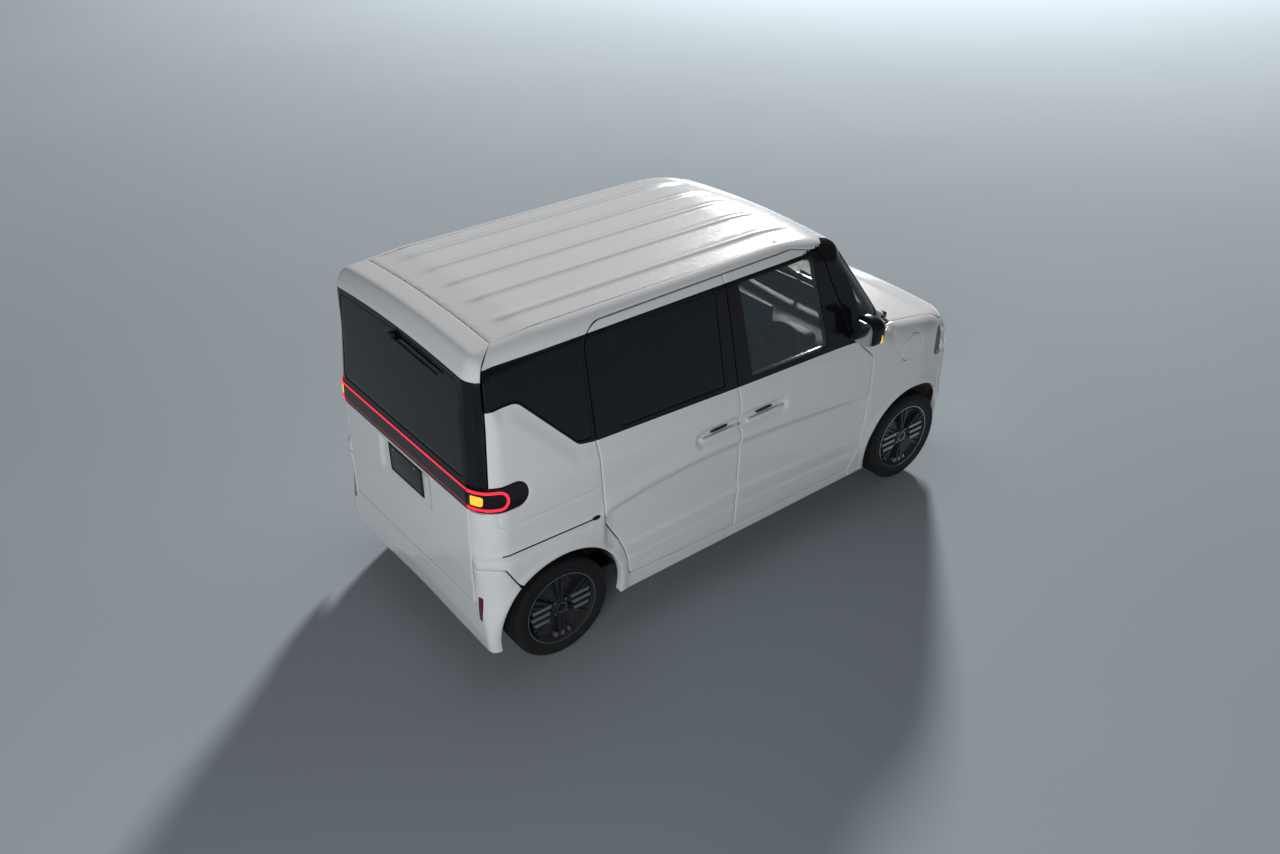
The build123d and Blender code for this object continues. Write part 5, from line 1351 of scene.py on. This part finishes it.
# ---------------------------------------------------------------- wheels
def build_wheel():
    """One right-hand wheel and its tyre about the origin, outer side towards -y."""
    tread = []
    for y in np.linspace(0.066, -0.066, 45):
        groove = max(bump(abs(y) - 0.018, 0.0042), bump(abs(y) - 0.044, 0.0042))
        tread.append((y, 0.2792 - 0.0060 * groove - 0.0035 * (abs(y) / 0.066) ** 4))
    half = [(0.074, 0.2700), (0.0795, 0.2600), (0.0818, 0.2480), (0.0805, 0.2360), (0.0790, 0.2335),
            (0.0800, 0.2300), (0.0772, 0.2180), (0.0735, 0.2085), (0.0715, 0.2035)]
    profile = half[::-1] + tread + [(-y, r) for y, r in half] + [(-0.066, 0.1960), (0.066, 0.1960)]
    tyre = spun("tyre", profile, [TYRE], 144, closed=True)
    tyre.data.set_sharp_from_angle(angle=math.radians(60))
    lugs = []
    for s in (1, -1):
        lug = shaped_bar("lug", [(-0.0042, 0.2700), (0.0042, 0.2700), (0.0036, 0.2812 - 0.0012),
                                 (-0.0036, 0.2812 - 0.0012)], 0.050, 0.0665, TYRE, bevel=0.0008, rounds=1)
        if s < 0:
            lug.data.transform(Matrix.Scale(-1, 4, (0, 1, 0)))
            lug.data.flip_normals()
        lugs.append(grown_by(AROUND, lug, Count=76, Start_Angle=0.02 * s, Material=TYRE))
    for y in (-0.031, 0.0, 0.031):
        sipe = shaped_bar("sipe", [(-0.0055, 0.2765), (0.0055, 0.2765), (0.0050, 0.2803), (-0.0050, 0.2803)],
                          y - 0.0085, y + 0.0085, TYRE, bevel=0.0006, rounds=1)
        lugs.append(grown_by(AROUND, sipe, Count=88, Start_Angle=0.4 * y, Material=TYRE))
    ribs = shaped_bar("rib", [(-0.0010, 0.2380), (0.0010, 0.2380), (0.0008, 0.2580), (-0.0008, 0.2580)],
                      -0.0822, -0.0800, TYRE, bevel=0.0003, rounds=1)
    lugs.append(grown_by(AROUND, ribs, Count=120, Start_Angle=0.0, Material=TYRE))
    tyre = join("tyre", [tyre, *lugs])

    barrel = spun("barrel", [(0.0760, 0.1960), (0.0765, 0.2025), (0.0730, 0.2035), (0.0690, 0.1960),
                             (0.0500, 0.1850), (-0.0100, 0.1800), (-0.0560, 0.1850), (-0.0690, 0.1945),
                             (-0.0715, 0.2025), (-0.0752, 0.2028), (-0.0755, 0.1990), (-0.0722, 0.1955),
                             (-0.0600, 0.1880), (-0.0480, 0.1760), (0.0000, 0.1720), (0.0650, 0.1780)],
                  [DARK_WHEEL, CHROME], 120, closed=True, bands=[0] * 8 + [1, 1, 0] + [0] * 5)
    dish = spun("dish", [(-0.0460, 0.0001), (-0.0460, 0.0600), (-0.0380, 0.0800), (-0.0360, 0.1500),
                         (-0.0450, 0.1780), (-0.0300, 0.1790), (-0.0240, 0.1500), (-0.0240, 0.0600),
                         (-0.0240, 0.0001)], [DARK_WHEEL], 96)
    hub = spun("hub", [(-0.0440, 0.0560), (-0.0560, 0.0520), (-0.0640, 0.0420), (-0.0640, 0.0360),
                       (-0.0600, 0.0340), (-0.0600, 0.0300)], [DARK_WHEEL], 72)
    ring = spun("ring", [(-0.0600, 0.0315), (-0.0668, 0.0300), (-0.0672, 0.0268), (-0.0640, 0.0250),
                         (-0.0600, 0.0250)], [CHROME], 72, closed=True)
    cap = spun("cap", [(-0.0610, 0.0255), (-0.0655, 0.0235), (-0.0668, 0.0150), (-0.0672, 0.0001)], [BLACK],
               48)
    # twin ribbed spokes, then the flat bars either side of the hub
    spokes = []
    for lean in (-1, 1):
        spoke = shaped_bar("spoke", [(lean * 0.002, 0.045), (lean * 0.011, 0.045), (lean * 0.026, 0.181),
                                     (lean * 0.010, 0.183)], -0.0640, -0.0380, DARK_WHEEL, bevel=0.0028)
        spokes.append(grown_by(AROUND, spoke, Count=6, Start_Angle=0.0, Material=DARK_WHEEL))
    web = shaped_bar("web", [(-0.010, 0.050), (0.010, 0.050), (0.022, 0.176), (-0.022, 0.176)], -0.0540,
                     -0.0360, DARK_WHEEL, 0.003)
    spokes.append(grown_by(AROUND, web, Count=6, Start_Angle=0.0, Material=DARK_WHEEL))
    bars = []
    for s in (-1, 1):
        for z, near, far in ((0.040, 0.062, 0.166), (0.0, 0.070, 0.174), (-0.040, 0.078, 0.160)):
            top = shaped_bar("bar", [(s * near, z - 0.0095), (s * far, z - 0.0095),
                                     (s * (far + 0.004), z + 0.0095), (s * (near - 0.006), z + 0.0095)],
                             -0.0705, -0.0560, BRIGHT_WHEEL, bevel=0.0022)
            root = shaped_bar("root", [(s * (near - 0.01), z - 0.0125), (s * (far + 0.006), z - 0.0125),
                                       (s * (far + 0.008), z + 0.0125), (s * (near - 0.012), z + 0.0125)],
                              -0.0600, -0.0370, DARK_WHEEL, bevel=0.0025)
            bars += [top, root]
    tips = shaped_bar("tip", [(-0.0075, 0.150), (0.0075, 0.150), (0.0085, 0.177), (-0.0085, 0.177)], -0.0680,
                      -0.0420, BRIGHT_WHEEL, bevel=0.002)
    for angle in (math.pi - 0.24, math.pi, math.pi + 0.24):
        bars.append(turned(copied(tips, "tip"), angle, "Y"))
    bpy.data.objects.remove(tips)
    nut = spun("nut", [(-0.0440, 0.0095), (-0.0600, 0.0095), (-0.0625, 0.0070), (-0.0625, 0.0001)], [CHROME],
               6)
    nut.data.transform(Matrix.Translation((0, 0, 0.0455)))
    nuts = grown_by(AROUND, nut, Count=4, Start_Angle=math.pi / 4, Material=CHROME)
    valve = pebble("valve", (-0.0035, -0.0700, 0.158), (0.0035, -0.0400, 0.165), SEAL, power=2.4, cuts=3)
    return join("wheel", [barrel, dish, hub, ring, cap, *spokes, *bars, nuts, turned(valve, 0.5, "Y")]), tyre


def build_wheels():
    """Four wheels with their tyres, each on its own body."""
    wheel, tyre = build_wheel()
    for end, x in (("front", FRONT_AXLE), ("rear", REAR_AXLE)):
        for side in ("right", "left"):
            for kind, piece, slot in (("wheel", wheel, "wheel_alloy"), ("tyre", tyre, "tyre_rubber")):
                name = f"{kind}_{end}_{side}"
                placed = copied(piece, name + "_look") if side == "right" else twin(piece, name + "_look")
                moved(placed, x, -TRACK / 2 if side == "right" else TRACK / 2, AXLE_Z)
                fit(placed, f"wheel_{end}_{side}", name, slot=slot)
    bpy.data.objects.remove(wheel)
    bpy.data.objects.remove(tyre)


# ---------------------------------------------------------------- cabin
def stuffed(name, low, high, swell=0.014):
    """A cushion: a rounded block, blown up as cloth in a sewn cover, with channels pressed in afterwards."""
    pad = pebble(name, low, high, CLOTH, power=5.0, cuts=13)
    size = np.array(high) - np.array(low)
    shell = pad.modifiers.new("even", "REMESH")
    shell.mode, shell.voxel_size = "VOXEL", 0.016
    settle(pad, math.pi)
    still = np.array([tuple(v.co) for v in pad.data.vertices])
    cloth = pad.modifiers.new("stuffing", "CLOTH")
    cloth.settings.use_pressure = True
    cloth.settings.uniform_pressure_force = 4.0
    cloth.settings.effector_weights.gravity = 0.0
    cloth.settings.quality = 5
    cloth.point_cache.frame_start, cloth.point_cache.frame_end = 1, PAD_FRAMES
    for number in range(1, PAD_FRAMES + 1):
        bpy.context.scene.frame_set(number)
    view = bpy.context.evaluated_depsgraph_get()
    blown = pad.evaluated_get(view).to_mesh()
    after = np.array([tuple(v.co) for v in blown.vertices])
    pad.evaluated_get(view).to_mesh_clear()
    pad.modifiers.clear()
    bpy.context.scene.frame_set(1)
    step = after - still
    far = np.linalg.norm(step, axis=1, keepdims=True)
    still = still + step * np.minimum(1, swell / np.maximum(far, 1e-9))
    pad.data.vertices.foreach_set("co", still.ravel())
    at = np.array([tuple(v.co) for v in pad.data.vertices])
    middle = (np.array(low) + np.array(high)) / 2
    local = (at - middle) / (size / 2)
    thin = int(np.argmin(size))
    across = 1
    face = smooth(np.abs(local[:, thin]) * 1.6 - 0.4)
    channels = bump(np.abs(local[:, across]) - 0.56, 0.05) + bump(local[:, 3 - thin - across], 0.035) * 0.6
    pinch = 0.010 * face * channels
    at[:, thin] -= np.sign(local[:, thin]) * pinch
    pad.data.vertices.foreach_set("co", at.ravel())
    pad.data.update()
    fine = pad.modifiers.new("soft", "SUBSURF")
    fine.levels = fine.render_levels = 1
    settle(pad, math.pi)
    return pad


def leaned(piece, angle, x, z):
    """Tips a piece back about a line across the car."""
    there, back = Matrix.Translation((x, 0, z)), Matrix.Translation((-x, 0, -z))
    piece.data.transform(there @ Matrix.Rotation(angle, 4, "Y") @ back)
    return piece


def build_seats():
    """Front seats and rear bench, each cushion, back and head restraint a stuffed pad."""
    cushion = stuffed("cushion", (-0.235, -0.23, 0.505), (0.262, 0.23, 0.635))
    back = stuffed("back", (-0.300, -0.23, 0.600), (-0.190, 0.23, 1.150))
    rest = stuffed("rest", (-0.405, -0.125, 1.185), (-0.320, 0.125, 1.345), swell=0.008)
    pads = {"cushion": cushion, "back": leaned(back, SEAT_LEAN, -0.245, 0.62), "rest": rest}
    for name, x, ys, width, replaced in (("front", -0.020, (-0.345, 0.345), 0.46, "front_seats"),
                                         ("rear", -0.8575, (-0.255, 0.255), 0.49, "rear_bench")):
        first, trims = True, []
        for y in ys:
            h = width / 2
            for part, pad in pads.items():
                piece = copied(pad, f"{name}_{part}_{'right' if y < 0 else 'left'}")
                wide = 1.0 if part == "rest" else width / 0.46
                piece.data.transform(Matrix.Translation((x, y, 0)) @ Matrix.Diagonal((1, wide, 1, 1)))
                if first:
                    fit(piece, "body", replaced, slot="seat_fabric")
                    first = False
                else:
                    fit(piece, "body", slot="seat_fabric")
            plinth = pebble("plinth", (x - 0.19, y - h + 0.04, 0.298), (x + 0.20, y + h - 0.04, 0.52), TRIM,
                            power=8)
            frame_ = pebble("shell", (x - 0.345, y - h + 0.02, 0.62), (x - 0.300, y + h - 0.02, 1.13), CABIN,
                            power=8)
            leaned(frame_, SEAT_LEAN, x - 0.245, 0.62)
            posts = [bead("post", [(x - 0.362, y + s * 0.045, 1.10), (x - 0.362, y + s * 0.045, 1.22)], 0.006,
                          CHROME) for s in (-1, 1)]
            trims += [plinth, frame_, *posts]
        fit(join(name + "_seat_frames", trims), "body", slot="dash_plastic")
    for pad in pads.values():
        bpy.data.objects.remove(pad)


def build_cabin():
    """Dashboard, screen, carpet and the trim that shows through the glass."""
    dash_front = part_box("dashboard")[0][0]
    glow = shaped_bar("cabin_screen", [(-0.160, -0.084), (0.160, -0.084), (0.160, 0.084), (-0.160, 0.084)],
                      -0.002, 0.002, SCREEN)
    turned(glow, -math.pi / 2, "Z")
    moved(glow, dash_front + 0.1052, 0, 1.055)
    fit(glow, "body", slot="dash_plastic")
    top = pebble("dash_top", (0.60, -0.640, 0.93), (0.985, 0.640, 1.045), CABIN, power=6, cuts=11)
    vents = [pebble("vent", (0.592, y - 0.055, 0.900), (0.625, y + 0.055, 0.955), TRIM, power=5)
             for y in (-0.50, -0.22, 0.22, 0.50)]
    binnacle = pebble("binnacle", (0.585, -0.470, 0.985), (0.690, -0.225, 1.075), TRIM, power=4)
    fit(join("dash_trim", [top, binnacle, *vents]), "body", slot="dash_plastic")
    carpet = pebble("carpet", (-1.19, -0.600, 0.2955), (0.86, 0.600, 0.3015), CARPET, power=14, cuts=9)
    fit(carpet, "body", slot="dash_plastic")


def dress_chassis():
    """Materials for the frame pieces that keep their own shape."""
    for name, material in (("charge_inlet", TRIM), ("floor_pan", UNDERSEAL), ("battery_pack", TRAY),
                           ("drive_unit", CASTING), ("front_suspension", STEEL), ("rear_suspension", STEEL),
                           ("wheelhouses", UNDERSEAL), ("bulkhead", UNDERSEAL), ("knuckle_right", IRON),
                           ("knuckle_left", IRON), ("dashboard", CABIN), ("steering_wheel", TRIM)):
        node = NODES[name]
        for slot in node.material_slots:
            slot.material = material
        if not node.material_slots:
            node.data.materials.append(material)


# ---------------------------------------------------------------- floor, lights and camera
def build_studio():
    """A plain pale floor, soft lights and the camera."""
    floor = mesh_object("floor", [(-40, -40, 0), (40, -40, 0), (40, 40, 0), (-40, 40, 0)], [(0, 1, 2, 3)],
                        [finish("studio floor", (0.330, 0.372, 0.405), drift=0.10, scale=0.35, smooth_=0.55,
                                rough=0.9, Specular_IOR_Level=0.0, grain=(120.0, 0.0004, 0.15))])
    floor.data.transform(Matrix.Translation((0, 0, -0.0005)))
    world = bpy.data.worlds.new("studio")
    bpy.context.scene.world = world
    world.use_nodes = True
    world.node_tree.nodes["Background"].inputs[0].default_value = (0.92, 0.96, 1.0, 1)
    world.node_tree.nodes["Background"].inputs[1].default_value = 0.09
    for name, place, aim, size, power, colour in (
            ("key", (21.35, 17.38, 11.5), (0.0, 0.0, 0.6), 3.4, 13200.0, (1.0, 0.99, 0.975)),
            ("top fill", (0.4, 0.3, 5.2), (0.0, 0.0, 1.8), 3.0, 21.0, (0.98, 0.99, 1.0)),
            ("side fill", (-6.2, -5.4, 2.3), (0.0, 0.0, 0.8), 4.0, 275.0, (0.97, 0.985, 1.0))):
        lamp = bpy.data.lights.new(name, "AREA")
        lamp.shape, lamp.size, lamp.energy, lamp.color = "DISK", size, power, colour
        holder = bpy.data.objects.new(name, lamp)
        bpy.context.scene.collection.objects.link(holder)
        holder.location = place
        holder.visible_glossy = name == "key"
        holder.rotation_euler = (Vector(aim) - Vector(place)).to_track_quat("-Z", "Y").to_euler()
    yaw, pitch, roll = math.radians(52.2), math.radians(-32.12), math.radians(-0.58)
    ahead = Vector((math.cos(pitch) * math.cos(yaw), math.cos(pitch) * math.sin(yaw), math.sin(pitch)))
    right = ahead.cross(Vector((0, 0, 1))).normalized()
    up = right.cross(ahead)
    level = math.cos(roll) * right + math.sin(roll) * up
    lift = -math.sin(roll) * right + math.cos(roll) * up
    lens = bpy.data.cameras.new("camera")
    lens.lens, lens.sensor_width, lens.sensor_fit = 33.0, 36.0, "HORIZONTAL"
    camera = bpy.data.objects.new("camera", lens)
    bpy.context.scene.collection.objects.link(camera)
    axes = Matrix((level, lift, -ahead)).transposed().to_4x4()
    camera.matrix_world = Matrix.Translation((-3.694, -4.472, 4.131)) @ axes
    bpy.context.scene.camera = camera
    bpy.context.scene.view_settings.view_transform = "Standard"


build_side()
build_doors()
build_roof()
build_tailgate()
build_rear_lights()
build_bumpers()
build_wings()
build_bonnet_and_screen()
build_mirrors()
build_wheels()
build_seats()
build_cabin()
dress_chassis()
build_studio()
